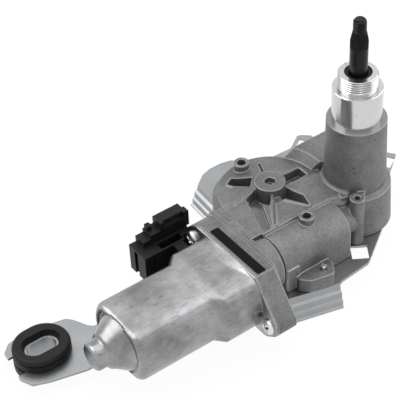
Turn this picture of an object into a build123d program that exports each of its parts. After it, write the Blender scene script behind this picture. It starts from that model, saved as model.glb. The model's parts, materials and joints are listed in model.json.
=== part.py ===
"""Rear wiper motor with a cranked reversing gearbox, modelled piece by piece.

Millimetres. +Z runs up the output shaft, X runs along the motor with the can towards -X, and the
origin is the centre of the spindle sleeve's shoulder, where the vehicle's nut clamps the sleeve.
"""
from build123d import *
import math
import os

os.makedirs("parts", exist_ok=True)


def finish(builder, name):
    """Label a finished piece and write its STEP file."""
    builder.part.label = name
    export_step(builder.part, f"parts/{name}.step")


# Levels above and below the sleeve's shoulder
sleeve_body_length = 23.0
tower_height = 40.5
wing_top = -sleeve_body_length - tower_height
hub_top = wing_top + 1.0
dome_top = wing_top - 2.0
dome_rim = wing_top - 6.2
shoulder_z = dome_rim - 5.0
ledge_top = wing_top - 7.5
deck_top = wing_top - 3.2
boss_top = wing_top
base_z = wing_top - 35.6
worm_z = wing_top - 19.0

# Places in plan, measured from the output shaft
worm_y = -14.5
wheel_x = -48.2
wheel_y = 23.1
wheel_centre = (wheel_x, wheel_y)

# Clearances
running_gap = 0.05
seat_gap = 0.05
free_gap = 0.3
cast_wall = 2.6
tiny = 0.01

# Output shaft and spindle sleeve
shaft_radius = 5.4
shaft_thread_radius = 3.97
shaft_thread_length = 8.6
shaft_cone_length = 6.0
shaft_above_shoulder = 46.9
shaft_tip_chamfer = 1.2
sleeve_radius = 15.2
sleeve_thread_radius = 12.1
sleeve_thread_length = 10.3
sleeve_thread_chamfer = 0.7
sleeve_shoulder_chamfer = 0.3
sleeve_spigot_radius = 12.6
sleeve_spigot_depth = 14.0
sleeve_recess_radius = 8.3
sleeve_recess_depth = 6.4
bush_radius = 7.6
bush_length = 12.0
circlip_radius = 7.2
circlip_thickness = 1.0
circlip_groove_depth = 0.6
washer_thickness = 0.7
seal_length = 3.6

# Gearbox casting
tower_top_radius = 18.3
tower_base_radius = 19.3
tower_flare = 1.8
drum_radius = 22.3
drum_foot_radius = 23.4
round_radius = 35.7
round_edge_radius = 32.3
hub_radius = 9.6
hub_hex_flats = 6.6
hub_hex_depth = 4.0
barrel_radius = 15.0
barrel_end_x = -28.0
barrel_root_x = -77.6
barrel_tail_radius = 9.5
neck_radius = 17.0
neck_end_x = -80.2
neck_groove_radius = 13.2
wing_rear_y = 40.3
wing_right_x = 13.0
wing_wall_run = 4.6
deck_rear_y = 25.8
deck_front_y = worm_y + 6.1
deck_slope_run = 3.4
deck_slope_drop = 3.6
chamber_left_x = -38.0
chamber_front_y = 3.5
boss_radius = 4.7
boss_hole_radius = 2.9
boss_hole_depth = 8.5
boss_x = -50.1
rear_boss_y = 49.2
front_boss_y = worm_y
post_x = -15.7
post_y = -20.4
post_radius = 4.6
post_hole_radius = 2.1
post_hole_depth = 10.0
rim_width = 1.2
rim_height = 0.7
lug_height = 9.5
lug_places = [(-53.7, -34.4), (7.0, wing_rear_y + 4.0), (wheel_x + 7.2, wheel_y + 40.0), (21.5, 29.0)]
lug_roots = [(4.0, wing_rear_y - 4.0), (wheel_x + 5.7, wheel_y + 32.0), (13.5, 27.0)]
front_lug = [(-71.0, -27.0), (-71.0, -33.0), (-66.5, -38.4), (-51.2, -42.2), (-46.0, -34.0), (-46.0, -27.0)]

# Motor
flange_face_x = -106.0
flange_back_x = -93.0
deck_left = flange_back_x - 0.5
flange_half_height = 19.9
can_wide_radius = 30.4
flange_radius = can_wide_radius + 0.2
ear_y = can_wide_radius + 5.9
flange_step_radius = 25.0
flange_step_height = 17.3
flange_step_x = -89.2
ear_z = 8.5
ear_radius = 7.2
can_sheet = 1.5
can_half_height = 18.5
can_edge_radius = 3.2
can_radius = 25.3
can_end_x = -186.8
can_cone_x = -192.8
can_boss_end_x = -197.2
can_nose_radius = 7.9
can_nose_end_x = -203.6
can_stations = [
    (-107.4, can_wide_radius + 1.0, can_half_height + 1.1),
    (-110.4, can_wide_radius, can_half_height),
    (-125.0, can_wide_radius, can_half_height),
    (-129.5, can_wide_radius - 3.0, can_half_height),
    (-135.5, can_radius, can_half_height),
    (can_end_x + 4.6, can_radius, can_half_height),
    (can_end_x + 1.3, can_radius - 1.2, can_half_height - 1.2),
    (can_end_x, can_radius - 3.6, can_half_height - 3.4),
]
can_cone_root = (can_radius - 5.0, can_half_height - 3.8)
can_cone_tip_radius = 11.6
can_boss_radius = 10.4
screw_radius = 2.5
screw_head_radius = 4.9
screw_head_height = 2.8
armature_shaft_radius = 4.0

# Worm and wheel
wheel_module = 1.25
wheel_teeth = 50
wheel_pitch_radius = wheel_module * wheel_teeth / 2
wheel_tip_radius = wheel_pitch_radius + 0.85 * wheel_module
wheel_root_radius = wheel_pitch_radius - 1.1 * wheel_module
wheel_thickness = 9.0
wheel_bore_radius = 3.0
wheel_top = worm_z + wheel_thickness / 2
worm_pitch_radius = wheel_y - worm_y - wheel_pitch_radius
worm_tip_radius = worm_pitch_radius + 0.85 * wheel_module
worm_root_radius = worm_pitch_radius - 1.15 * wheel_module
worm_pitch = math.pi * wheel_module
worm_length = 7 * worm_pitch
worm_bore_radius = worm_tip_radius + 1.2
end_wall = 2.0
end_bush_length = 4.0
bearing_radius = 11.0
bearing_width = 7.0
bearing_depth = 7.0
wheel_roof_gap = 1.2
brush_x = -126.0

# Ribs, cored pockets and grooves on the casting's roof: outline, top or floor level
rib_top = deck_top + 1.3
roof_ribs = [
    ([(-55.5, 28.0), (-76.0, 23.9), (-76.0, 21.4), (-56.5, 24.6)], rib_top),
    ([(-53.5, 17.5), (-70.6, -7.8), (-66.4, -8.2), (-49.5, 15.5)], rib_top),
    ([(-46.6, 35.0), (-41.5, 46.8), (-35.5, 46.0), (-40.5, 33.0)], deck_top - 1.6),
]
pockets = [
    ([(-67.0, 42.0), (-61.5, 45.0), (-52.0, 36.0), (-59.5, 28.5)], deck_top - 0.9, wheel_top + 4.0),
    ([(-40.0, 25.5), (-23.8, 25.5), (-23.8, 17.2), (-41.0, 16.6)], deck_top + 0.3, wheel_top + 5.0),
    ([(-48.4, 17.0), (-42.6, 17.0), (-38.0, 3.6), (-40.6, -6.0), (-48.8, 7.0)], deck_top + rim_height,
     wheel_top + 3.5),
]
grooves = [
    ([(-67.5, 22.4), (-57.0, 25.4), (-51.0, 18.0), (-58.8, 9.2), (-64.0, 12.4), (-67.8, 20.0)], rib_top,
     wheel_top + 4.0),
    ([(-68.2, 20.0), (-62.4, 12.6), (-71.6, -7.4), (-77.0, -7.4)], rib_top, deck_top - 3.2),
    ([(-57.0, 7.5), (-48.0, 7.5), (-48.0, 17.0), (-51.0, 17.0)], rib_top, deck_top - 1.8),
    ([(-52.2, 15.8), (-69.0, -7.0), (-67.8, -7.6), (-51.0, 15.0)], rib_top, deck_top),
    ([(-44.6, 36.0), (-39.9, 46.0), (-38.2, 46.0), (-42.9, 36.0)], rib_top, deck_top - 3.6),
    ([(-86.1, deck_front_y + 1.2), (-78.6, deck_front_y + 1.2), (-78.6, -12.4), (-86.1, -12.4)], rib_top,
     deck_top - 4.0),
]

# Reversing linkage
gear_module = 1.5
pinion_teeth = 12
sector_full_teeth = 20
pinion_pitch_radius = gear_module * pinion_teeth / 2
sector_pitch_radius = gear_module * sector_full_teeth / 2
link_length = pinion_pitch_radius + sector_pitch_radius
crank_radius = 8.5
plate_thickness = 4.0
link_thickness = 2.5
link_z = wheel_top - wheel_thickness - 4.2
link_roof = link_z + link_thickness + free_gap + washer_thickness
plate_z = link_z - free_gap - plate_thickness
pinion_width = plate_thickness + 0.5
link_angle = 108.0
pivot_x = link_length * math.cos(math.radians(link_angle))
pivot_y = link_length * math.sin(math.radians(link_angle))
pivot_radius = 3.5
pivot_eye_radius = 7.5
shaft_eye_radius = 9.0
crank_pin_radius = 3.5
crank_eye_radius = 6.5
crank_pin_x = wheel_x + crank_radius * math.cos(math.radians(link_angle))
crank_pin_y = wheel_y + crank_radius * math.sin(math.radians(link_angle))
sector_teeth = 5
pressure_angle = math.radians(25)
linkage_backlash = 0.15
axle_end_z = link_z + 1.0

# Bracket, tail arm and grommet
sheet = 1.6
gasket_thickness = 0.4
plate_top = base_z - gasket_thickness
foot_z = plate_top - 14.5
arm_top = plate_top - 5.6
arm_joint_x = -82.0
arm_rear_y = 24.8
arm_front_y = -1.8
tail_x = -214.9
tail_y = 26.1
grommet_half_length = 17.6
grommet_half_width = 15.6
grommet_height = 17.0
grommet_edge_radius = 2.4
grommet_groove_z = 14.2
grommet_groove_depth = 0.8
grommet_recess = 3.6
neck_length = 11.8
neck_half = 7.6
slot_half = 9.3
slot_radius = 5.2
tube_wall = 1.3
square_length = 11.3
square_width = 10.5
square_holes = [(-20.8, -30.0, 57.0), (19.0, 72.0, 30.0), (49.5, 25.5, 30.0)]
plate_outline = [
    (-60.0, 84.0), (-52.0, 90.0), (-45.0, 92.0), (-36.0, 92.0), (-29.0, 90.4), (-14.0, 76.0),
    (10.0, 75.0), (21.4, 82.4), (24.2, 81.5), (29.0, 77.0), (31.0, 62.0), (41.0, 45.0),
    (56.8, 30.7), (59.8, 26.3), (44.4, 15.0), (20.8, -11.3), (-20.5, -39.1), (-23.1, -40.3),
    (-44.5, -42.0), (-47.8, -43.2), (-80.0, -34.4), (-83.0, -16.0), (-83.0, 30.0), (-76.0, 46.0),
    (-62.0, 57.0),
]
foot_edges = [((-80.0, -34.4), (-47.8, -43.2)), ((-60.0, 84.0), (-62.0, 57.0))]
foot_profile = [(0.0, 0.0), (1.2, 3.8), (3.0, 5.0), (3.4, 8.6), (4.8, 9.8), (5.0, 13.2), (6.6, 14.5)]
arm_outline = [
    (arm_joint_x - 12.0 + 0.5, arm_front_y), (arm_joint_x - 12.0 + 0.5, arm_rear_y), (-179.8, arm_rear_y),
    (-182.4, 27.3), (-186.9, 36.7), (-190.2, 40.4), (-202.4, 43.4), (-216.5, 46.0), (-227.5, 44.0),
    (-233.0, 39.0), (-234.0, 31.0), (-236.0, 16.0), (-232.5, 8.0), (-223.0, 4.0), (-201.0, arm_front_y),
]

# Connector and label strip
connector_left = -140.0
connector_right = -103.5
connector_front_y = 26.0
connector_rear_y = 43.0
connector_floor = worm_z - 12.5
connector_rim = worm_z + 6.5
connector_top = worm_z + 19.0
connector_block_y = 34.2
connector_wall = 1.4
cavity_width = 15.6
cavity_depth_y = connector_block_y - connector_front_y - 2 * connector_wall
cavity_x = connector_left + 13.2 + cavity_width / 2
cavity_y = connector_front_y + connector_wall + cavity_depth_y / 2
cavity_depth = 13.0
terminal_count = 4
terminal_pitch = 3.6
terminal_thickness = 0.8
terminal_width = 2.4
terminal_length = 9.0
terminal_root = 3.0
tongue_x = -116.0
tongue_z = worm_z
tongue_width = 7.0
tongue_height = 12.0
tongue_inner_y = worm_y + can_wide_radius - can_sheet + 0.1
strip_x = -101.0
strip_y = -13.5
strip_width = 6.0
strip_length = 46.0
strip_thickness = 0.2


def double_d(radius, half_height, edge_radius=0.0, mode=Mode.ADD):
    """A circle cut by two flats, the shape of the motor's cross-section, with softened edges."""
    with BuildSketch() as face:
        Circle(radius)
        Rectangle(2 * radius + 2, 2 * half_height, mode=Mode.INTERSECT)
        if edge_radius:
            fillet(face.vertices(), edge_radius)
    add(face.sketch, mode=mode)


def across(x):
    """The sketch plane square to the motor's axis at x, with +Y to its right and +Z up."""
    return Plane(origin=(x, worm_y, worm_z), x_dir=(0, 1, 0), z_dir=(1, 0, 0))


def flange_outline():
    """The motor flange: the can's double-D drawn out to the two screw ears and lower corners."""
    double_d(flange_radius, flange_half_height)
    with Locations((ear_y, ear_z), (-ear_y, -ear_z)):
        Circle(ear_radius)
    corner_y, corner_z = can_wide_radius + 1.1, 15.4
    with Locations((corner_y, corner_z), (-corner_y, -corner_z)):
        Circle(flange_half_height - corner_z)
    make_hull()


def involute_flank(pitch_radius, tip_radius, root_radius, teeth, pressure, backlash):
    """Half a tooth, root to tip: a true involute, thinned by the backlash, as polar points."""
    base_radius = pitch_radius * math.cos(pressure)

    def roll(radius):
        angle = math.acos(min(1.0, base_radius / max(radius, base_radius)))
        return math.tan(angle) - angle

    half = math.pi / (2 * teeth) - backlash / (2 * pitch_radius)
    start = max(base_radius, root_radius)
    radii = [start + (tip_radius - start) * step / 3 for step in range(4)]
    points = [(r, half + roll(pitch_radius) - roll(r)) for r in radii]
    if start - root_radius > tiny:
        points.insert(0, (root_radius, points[0][1]))
    return points


def tooth_outline(pitch_radius, tip_radius, root_radius, teeth, pressure, backlash, first, count):
    """The closed outline of count teeth, the first one centred on the angle first, in degrees."""
    flank = involute_flank(pitch_radius, tip_radius, root_radius, teeth, pressure, backlash)
    outline = []
    for tooth in range(count):
        centre = math.radians(first) + tooth * 2 * math.pi / teeth
        outline += [(r * math.cos(centre - a), r * math.sin(centre - a)) for r, a in flank]
        outline += [(r * math.cos(centre + a), r * math.sin(centre + a)) for r, a in reversed(flank)]
    return outline


def chamber_outline(mode=Mode.ADD):
    """The linkage chamber in plan, a wall's thickness inside the wing and the drum."""
    with BuildLine() as edge:
        FilletPolyline(
            (chamber_left_x, chamber_front_y),
            (chamber_left_x, wing_rear_y - cast_wall),
            (wing_right_x - cast_wall + 1.0, wing_rear_y - cast_wall),
            (drum_radius - cast_wall - 2.2, 12.0),
            (drum_radius - cast_wall - 2.2, -6.5),
            (4.0, -drum_radius + cast_wall + 3.5),
            (-9.0, -drum_radius + cast_wall + 5.0),
            radius=3.0,
            close=True,
        )
    make_face(edge.edges(), mode=mode)


def turned(outline, degrees):
    """An outline turned about its own centre."""
    c, s = math.cos(math.radians(degrees)), math.sin(math.radians(degrees))
    return [(x * c - y * s, x * s + y * c) for x, y in outline]


# Gearbox casting: the outside
with BuildPart() as gear_housing:
    # wing over the reversing linkage, its left wall sloping up from the round chamber's rim
    with BuildSketch(Plane.XY.offset(base_z)):
        with BuildLine():
            Polyline(
                (-30.0, wing_rear_y - 12.0),
                (-27.0, wing_rear_y + 3.8),
                (-17.0, wing_rear_y),
                (wing_right_x, wing_rear_y),
                (drum_radius - 2.0, 12.0),
                (drum_radius - 2.0, 0.0),
                (-10.0, 0.0),
                (-10.0, 17.5),
                (-17.5, 22.6),
                close=True,
            )
        make_face()
    extrude(amount=wing_top - base_z)
    with BuildSketch(Plane.XY.offset(dome_rim)):
        with Locations(wheel_centre):
            Circle(round_edge_radius - 0.8)
    with BuildSketch(Plane.XY.offset(wing_top + 1.0)):
        with Locations(wheel_centre):
            Circle(round_edge_radius + wing_wall_run)
    loft(mode=Mode.SUBTRACT)
    # round gear chamber with its sloping shoulder and shallow dome
    with BuildSketch(Plane.XY.offset(base_z)):
        with Locations(wheel_centre):
            Circle(round_radius)
    extrude(amount=shoulder_z - base_z)
    with BuildSketch(Plane.XY.offset(shoulder_z)):
        with Locations(wheel_centre):
            Circle(round_radius)
    with BuildSketch(Plane.XY.offset(dome_rim)):
        with Locations(wheel_centre):
            Circle(round_edge_radius)
    loft()
    with BuildSketch(Plane.XY.offset(dome_rim)):
        with Locations(wheel_centre):
            Circle(round_edge_radius)
    with BuildSketch(Plane.XY.offset(dome_top)):
        with Locations(wheel_centre):
            Circle(hub_radius + 2.0)
    loft()
    # drum under the tower
    with BuildSketch(Plane.XY.offset(base_z)):
        Circle(drum_foot_radius)
    with BuildSketch(Plane.XY.offset(ledge_top)):
        Circle(drum_radius)
    loft()
    # deck in front of the dome, from the motor flange to the tower, with a slope round its right end
    with BuildSketch(Plane.XY.offset(deck_top)):
        with BuildLine():
            Polyline(
                (deck_left, deck_front_y),
                (deck_left, deck_rear_y),
                (wheel_x - hub_radius, deck_rear_y),
                (wheel_x + hub_radius - 1.0, 18.0),
                (-22.0, 15.0),
                (-13.0, 13.0),
                (-12.5, -12.0),
                (-18.8, -11.6),
                (barrel_end_x, deck_front_y),
                close=True,
            )
        make_face()
    with BuildSketch(Plane.XY.offset(deck_top - deck_slope_drop)):
        with BuildLine():
            Polyline(
                (deck_left, deck_front_y),
                (deck_left, deck_rear_y + 0.6),
                (wheel_x - hub_radius, deck_rear_y + 0.6),
                (wheel_x + hub_radius - 1.0, 25.0),
                (-19.0, 23.5),
                (-12.5, 20.0),
                (-11.5, -14.5),
                (-20.2, -11.6 - deck_slope_run),
                (barrel_end_x, deck_front_y - deck_slope_run),
                close=True,
            )
        make_face()
    loft(ruled=True)
    with BuildSketch(Plane.XY.offset(base_z)):
        with BuildLine():
            Polyline(
                (deck_left, deck_front_y),
                (deck_left, deck_rear_y + 0.6),
                (-19.0, 23.5),
                (-12.5, 20.0),
                (-11.5, -14.5),
                (-20.2, -11.6 - deck_slope_run),
                (barrel_end_x, deck_front_y - deck_slope_run),
                (barrel_end_x - 5.0, deck_front_y),
                close=True,
            )
        make_face()
    extrude(amount=deck_top - deck_slope_drop - base_z)
    # worm barrel with the wall under it, and the smaller boss past its end
    with BuildSketch(across(barrel_root_x)):
        Circle(barrel_radius)
        with Locations((0, (base_z - worm_z) / 2)):
            Rectangle(2 * barrel_radius, worm_z - base_z)
    extrude(amount=barrel_end_x - barrel_root_x)
    with BuildSketch(across(barrel_end_x - 1.0)):
        Circle(barrel_tail_radius)
    extrude(amount=post_x - barrel_end_x)
    # raised pad at the left end of the barrel's wall
    with BuildSketch(Plane.XY.offset(base_z)):
        with Locations((barrel_root_x + 5.0, worm_y - barrel_radius)):
            Rectangle(8.6, 1.6)
    extrude(amount=17.0)
    # round neck between the barrel and the motor flange, with a groove before the barrel
    with BuildSketch(across(flange_back_x - 1.0)):
        Circle(neck_radius)
    extrude(amount=neck_end_x - flange_back_x + 1.0)
    with BuildSketch(across(neck_end_x - 1.0)):
        Circle(neck_groove_radius)
    extrude(amount=barrel_root_x - neck_end_x + 2.0)
    # motor flange and its thinner step
    with BuildSketch(across(flange_face_x)):
        flange_outline()
    extrude(amount=flange_back_x - flange_face_x)
    with BuildSketch(across(flange_back_x - 1.0)):
        double_d(flange_step_radius, flange_step_height, 5.0)
    extrude(amount=flange_step_x - flange_back_x + 1.0)
    with BuildSketch(Plane.XY.offset(deck_top - 3.0)):
        with Locations(((flange_back_x + flange_step_x) / 2, 9.0)):
            Rectangle(flange_step_x - flange_back_x, 33.0)
        with Locations((flange_step_x + 1.6, 6.0)):
            RectangleRounded(6.0, 10.0, 1.4)
    extrude(amount=worm_z + flange_step_height - deck_top + 3.0)
    # tower, flared where it meets the deck
    with BuildSketch(Plane.XY.offset(ledge_top)):
        Circle(tower_base_radius + 0.2)
    with BuildSketch(Plane.XY.offset(-sleeve_body_length)):
        Circle(tower_top_radius)
    loft()
    with BuildSketch(Plane.XY.offset(ledge_top)):
        Circle(tower_base_radius + tower_flare)
    with BuildSketch(Plane.XY.offset(ledge_top + 1.6)):
        Circle(tower_base_radius)
    loft()
    with BuildSketch(Plane.XY.offset(deck_top - 0.6)):
        Circle(tower_base_radius + tower_flare)
        with Locations((-tower_base_radius, 3.0)):
            Rectangle(22.0, 32.0, mode=Mode.INTERSECT)
    extrude(amount=tower_flare + 0.4, taper=42)
    # hub over the wheel's axle
    with BuildSketch(Plane.XY.offset(dome_rim)):
        with Locations(wheel_centre):
            Circle(hub_radius)
    extrude(amount=hub_top - dome_rim)
    # two mounting bosses and the post by the tower, tied to it by a web
    with BuildSketch(Plane.XY.offset(boss_top)):
        with Locations((boss_x, rear_boss_y), (boss_x, front_boss_y)):
            Circle(boss_radius)
    extrude(amount=-12.0, taper=-3)
    with BuildSketch(Plane.XY.offset(boss_top - 1.0)):
        with Locations((post_x, post_y)):
            Circle(post_radius)
    extrude(amount=base_z - boss_top + 1.0)
    with BuildSketch(Plane.XY.offset(boss_top - 1.6)):
        with Locations((post_x, post_y)):
            Circle(post_radius - 0.8)
        with Locations((-8.4, -16.5)):
            Circle(1.6)
        make_hull()
    extrude(amount=-14.0)
    # small rib in the corner of the deck
    with BuildSketch(Plane.XY.offset(worm_z)):
        with BuildLine():
            Polyline((-19.6, -8.0), (-22.6, -13.2), (-17.2, -14.8), close=True)
        make_face()
    extrude(amount=deck_top - worm_z + 0.5)
    # bracket-screw lugs at the foot of the walls
    with BuildSketch(Plane.XY.offset(base_z)):
        with BuildLine():
            FilletPolyline(*front_lug, radius=2.4, close=True)
        make_face()
    extrude(amount=lug_height)
    with BuildSketch(Plane.XY.offset(base_z)):
        for lug, root in zip(lug_places[1:], lug_roots):
            with BuildSketch(Plane.XY.offset(base_z), mode=Mode.PRIVATE) as one:
                with Locations(lug, root):
                    Circle(6.0)
                make_hull()
            add(one.sketch)
    extrude(amount=lug_height - 2.5)

    # Inside: wheel chamber, linkage chamber, worm bore, bearing seats and shaft bore
    with BuildSketch(Plane.XY.offset(base_z)):
        with Locations(wheel_centre):
            Circle(round_radius - cast_wall)
    extrude(amount=wheel_top + wheel_roof_gap - base_z, mode=Mode.SUBTRACT)
    with BuildSketch(Plane.XY.offset(base_z)):
        chamber_outline()
    extrude(amount=link_roof - base_z, mode=Mode.SUBTRACT)
    with BuildSketch(across(flange_face_x)):
        Circle(worm_bore_radius)
    extrude(amount=barrel_end_x - end_wall - flange_face_x, mode=Mode.SUBTRACT)
    with BuildSketch(across(flange_face_x)):
        double_d(flange_radius - 4.5, flange_half_height - 3.5)
    extrude(amount=bearing_depth, mode=Mode.SUBTRACT)
    with BuildSketch(across(flange_face_x + bearing_depth)):
        Circle(bearing_radius + seat_gap)
    extrude(amount=bearing_width + 0.2, mode=Mode.SUBTRACT)
    with Locations((0, 0, -sleeve_body_length)):
        Hole(bush_radius + seat_gap, depth=tower_height + 36.0)
    with BuildSketch(Plane.XY.offset(-sleeve_body_length)):
        Circle(sleeve_spigot_radius + seat_gap)
    extrude(amount=-sleeve_spigot_depth, mode=Mode.SUBTRACT)
    # wheel axle's blind hole and the hexagonal recess above it
    with BuildSketch(Plane.XY.offset(wheel_top)):
        with Locations(wheel_centre):
            Circle(wheel_bore_radius - running_gap + seat_gap)
    extrude(amount=8.0, mode=Mode.SUBTRACT)
    with BuildSketch(Plane.XY.offset(hub_top)):
        with Locations(wheel_centre):
            RegularPolygon(hub_hex_flats / 2, 6, major_radius=False)
    extrude(amount=-hub_hex_depth, mode=Mode.SUBTRACT)
    # mounting-boss holes and the post's hole
    with Locations((boss_x, rear_boss_y, boss_top), (boss_x, front_boss_y, boss_top)):
        Hole(boss_hole_radius, depth=boss_hole_depth)
    with Locations((post_x, post_y, boss_top - 1.0)):
        Hole(post_hole_radius, depth=post_hole_depth)
    # raised ribs on the roof
    for rib, rib_top in roof_ribs:
        with BuildSketch(Plane.XY.offset(dome_rim)):
            with BuildLine():
                Polyline(*rib, close=True)
            make_face()
        extrude(amount=rib_top - dome_rim)
    # cored pockets round the hub, each with a raised rim
    for corners, rim_top, floor in pockets:
        with BuildSketch(Plane.XY.offset(dome_rim)) as pocket:
            with BuildLine():
                FilletPolyline(*corners, radius=1.0, close=True)
            make_face()
            offset(amount=rim_width)
        extrude(amount=rim_top - dome_rim)
    for corners, rim_top, floor in pockets + grooves:
        with BuildSketch(Plane.XY.offset(hub_top)):
            with BuildLine():
                FilletPolyline(*corners, radius=0.6, close=True)
            make_face()
            with Locations(wheel_centre):
                Circle(hub_radius, mode=Mode.SUBTRACT)
        extrude(amount=floor - hub_top, mode=Mode.SUBTRACT)
    # motor screw holes
    with Locations(across(flange_face_x)):
        with Locations((ear_y, ear_z), (-ear_y, -ear_z)):
            Hole(screw_radius + seat_gap, depth=flange_back_x - flange_face_x + 2.0)
    # bracket screw holes, up through the lugs
    with BuildSketch(Plane.XY.offset(base_z)):
        with Locations(*lug_places):
            Circle(screw_radius - 0.3)
    extrude(amount=lug_height + tiny, mode=Mode.SUBTRACT)
finish(gear_housing, "gear_housing")


def ring(plane, outer, inner, length):
    """A plain ring or washer from the plane, length long."""
    with BuildSketch(plane) as face:
        Circle(outer)
        Circle(inner, mode=Mode.SUBTRACT)
    extrude(face.sketch, amount=length)


# Spindle sleeve: spigot in the tower, body, shoulder and threaded nose
sleeve_bottom = -sleeve_body_length - sleeve_spigot_depth
with BuildPart() as spindle_sleeve:
    with BuildSketch(Plane.XZ):
        with BuildLine():
            Polyline(
                (bush_radius + seat_gap, sleeve_bottom),
                (sleeve_spigot_radius, sleeve_bottom),
                (sleeve_spigot_radius, -sleeve_body_length),
                (sleeve_radius, -sleeve_body_length),
                (sleeve_radius, -sleeve_shoulder_chamfer),
                (sleeve_radius - sleeve_shoulder_chamfer, 0.0),
                (sleeve_thread_radius, 0.0),
                (sleeve_thread_radius, sleeve_thread_length - sleeve_thread_chamfer),
                (sleeve_thread_radius - sleeve_thread_chamfer, sleeve_thread_length),
                (sleeve_recess_radius, sleeve_thread_length),
                (sleeve_recess_radius, sleeve_thread_length - sleeve_recess_depth),
                (bush_radius + seat_gap, sleeve_thread_length - sleeve_recess_depth),
                close=True,
            )
        make_face()
    revolve(axis=Axis.Z)
finish(spindle_sleeve, "spindle_sleeve")

# Bushes that carry the output shaft
recess_floor = sleeve_thread_length - sleeve_recess_depth
with BuildPart() as upper_bush:
    ring(Plane.XY.offset(recess_floor), bush_radius, shaft_radius + running_gap, -bush_length)
finish(upper_bush, "upper_bush")

with BuildPart() as lower_bush:
    ring(Plane.XY.offset(link_roof), bush_radius, shaft_radius + running_gap, bush_length)
finish(lower_bush, "lower_bush")

# Output shaft: plain journal, circlip groove, knurl seat taper and threaded end
shaft_bottom = base_z + 1.6
taper_top = shaft_above_shoulder - shaft_thread_length
groove_z = recess_floor + washer_thickness + free_gap
with BuildPart() as output_shaft:
    with BuildSketch(Plane.XZ):
        with BuildLine():
            Polyline(
                (0.0, shaft_bottom),
                (shaft_radius - 0.6, shaft_bottom),
                (shaft_radius, shaft_bottom + 0.6),
                (shaft_radius, groove_z),
                (shaft_radius - circlip_groove_depth, groove_z),
                (shaft_radius - circlip_groove_depth, groove_z + circlip_thickness),
                (shaft_radius, groove_z + circlip_thickness),
                (shaft_radius, taper_top - shaft_cone_length),
                (shaft_thread_radius + 0.25, taper_top),
                (shaft_thread_radius, taper_top),
                (shaft_thread_radius, shaft_above_shoulder - shaft_tip_chamfer),
                (shaft_thread_radius - shaft_tip_chamfer, shaft_above_shoulder),
                (0.0, shaft_above_shoulder),
                close=True,
            )
        make_face()
    revolve(axis=Axis.Z)
finish(output_shaft, "output_shaft")

with BuildPart() as thrust_washer:
    ring(Plane.XY.offset(recess_floor), sleeve_recess_radius - seat_gap, shaft_radius + 2 * running_gap,
         washer_thickness)
finish(thrust_washer, "thrust_washer")

with BuildPart() as shaft_circlip:
    with BuildSketch(Plane.XY.offset(groove_z + tiny)):
        Circle(circlip_radius)
        Circle(shaft_radius - circlip_groove_depth + tiny, mode=Mode.SUBTRACT)
        with Locations((circlip_radius, 0)):
            Rectangle(circlip_radius, 3.0, mode=Mode.SUBTRACT)
    extrude(amount=circlip_thickness - 2 * tiny)
finish(shaft_circlip, "shaft_circlip")

seal_z = groove_z + circlip_thickness + free_gap
with BuildPart() as shaft_seal:
    ring(Plane.XY.offset(seal_z), sleeve_recess_radius - seat_gap, shaft_radius + running_gap, seal_length)
    chamfer(shaft_seal.edges().group_by(Axis.Z)[-1], 0.6)
finish(shaft_seal, "shaft_seal")

# Pinion on the shaft: an involute gear whose gap faces the sector at rest
pinion_top = link_z - free_gap
pinion_tip_radius = pinion_pitch_radius + 0.85 * gear_module
pinion_root_radius = pinion_pitch_radius - 1.1 * gear_module
sector_tip_radius = sector_pitch_radius + 0.85 * gear_module
sector_root_radius = sector_pitch_radius - 1.1 * gear_module
pinion_outline = tooth_outline(pinion_pitch_radius, pinion_tip_radius, pinion_root_radius, pinion_teeth,
                               pressure_angle, linkage_backlash, link_angle + 180 / pinion_teeth,
                               pinion_teeth)
with BuildPart() as output_pinion:
    with BuildSketch(Plane.XY.offset(pinion_top)):
        with BuildLine():
            Polyline(*pinion_outline, close=True)
        make_face()
        Circle(shaft_radius + tiny, mode=Mode.SUBTRACT)
    extrude(amount=-pinion_width)
finish(output_pinion, "output_pinion")

# Keeper link between the shaft and the sector's pivot
with BuildPart() as keeper_link:
    with BuildSketch(Plane.XY.offset(link_z)):
        Circle(shaft_eye_radius)
        with Locations((pivot_x, pivot_y)):
            Circle(pivot_eye_radius)
        make_hull()
        Circle(shaft_radius + 2 * running_gap, mode=Mode.SUBTRACT)
        with Locations((pivot_x, pivot_y)):
            Circle(pivot_radius + tiny, mode=Mode.SUBTRACT)
        with Locations((pivot_x / 2, pivot_y / 2)):
            Circle(2.0, mode=Mode.SUBTRACT)
    extrude(amount=link_thickness)
finish(keeper_link, "keeper_link")

with BuildPart() as keeper_washer:
    ring(Plane.XY.offset(link_z + link_thickness + free_gap), bush_radius + 1.0,
         shaft_radius + 2 * running_gap, washer_thickness)
finish(keeper_washer, "keeper_washer")

with BuildPart() as sector_pivot_pin:
    with BuildSketch(Plane.XY.offset(link_z + link_thickness)):
        with Locations((pivot_x, pivot_y)):
            Circle(pivot_radius)
    extrude(amount=plate_z - 2 * free_gap - link_z - link_thickness)
    with BuildSketch(Plane.XY.offset(plate_z - free_gap)):
        with Locations((pivot_x, pivot_y)):
            Circle(pivot_radius + 1.8)
    extrude(amount=-1.2)
finish(sector_pivot_pin, "sector_pivot_pin")

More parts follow.
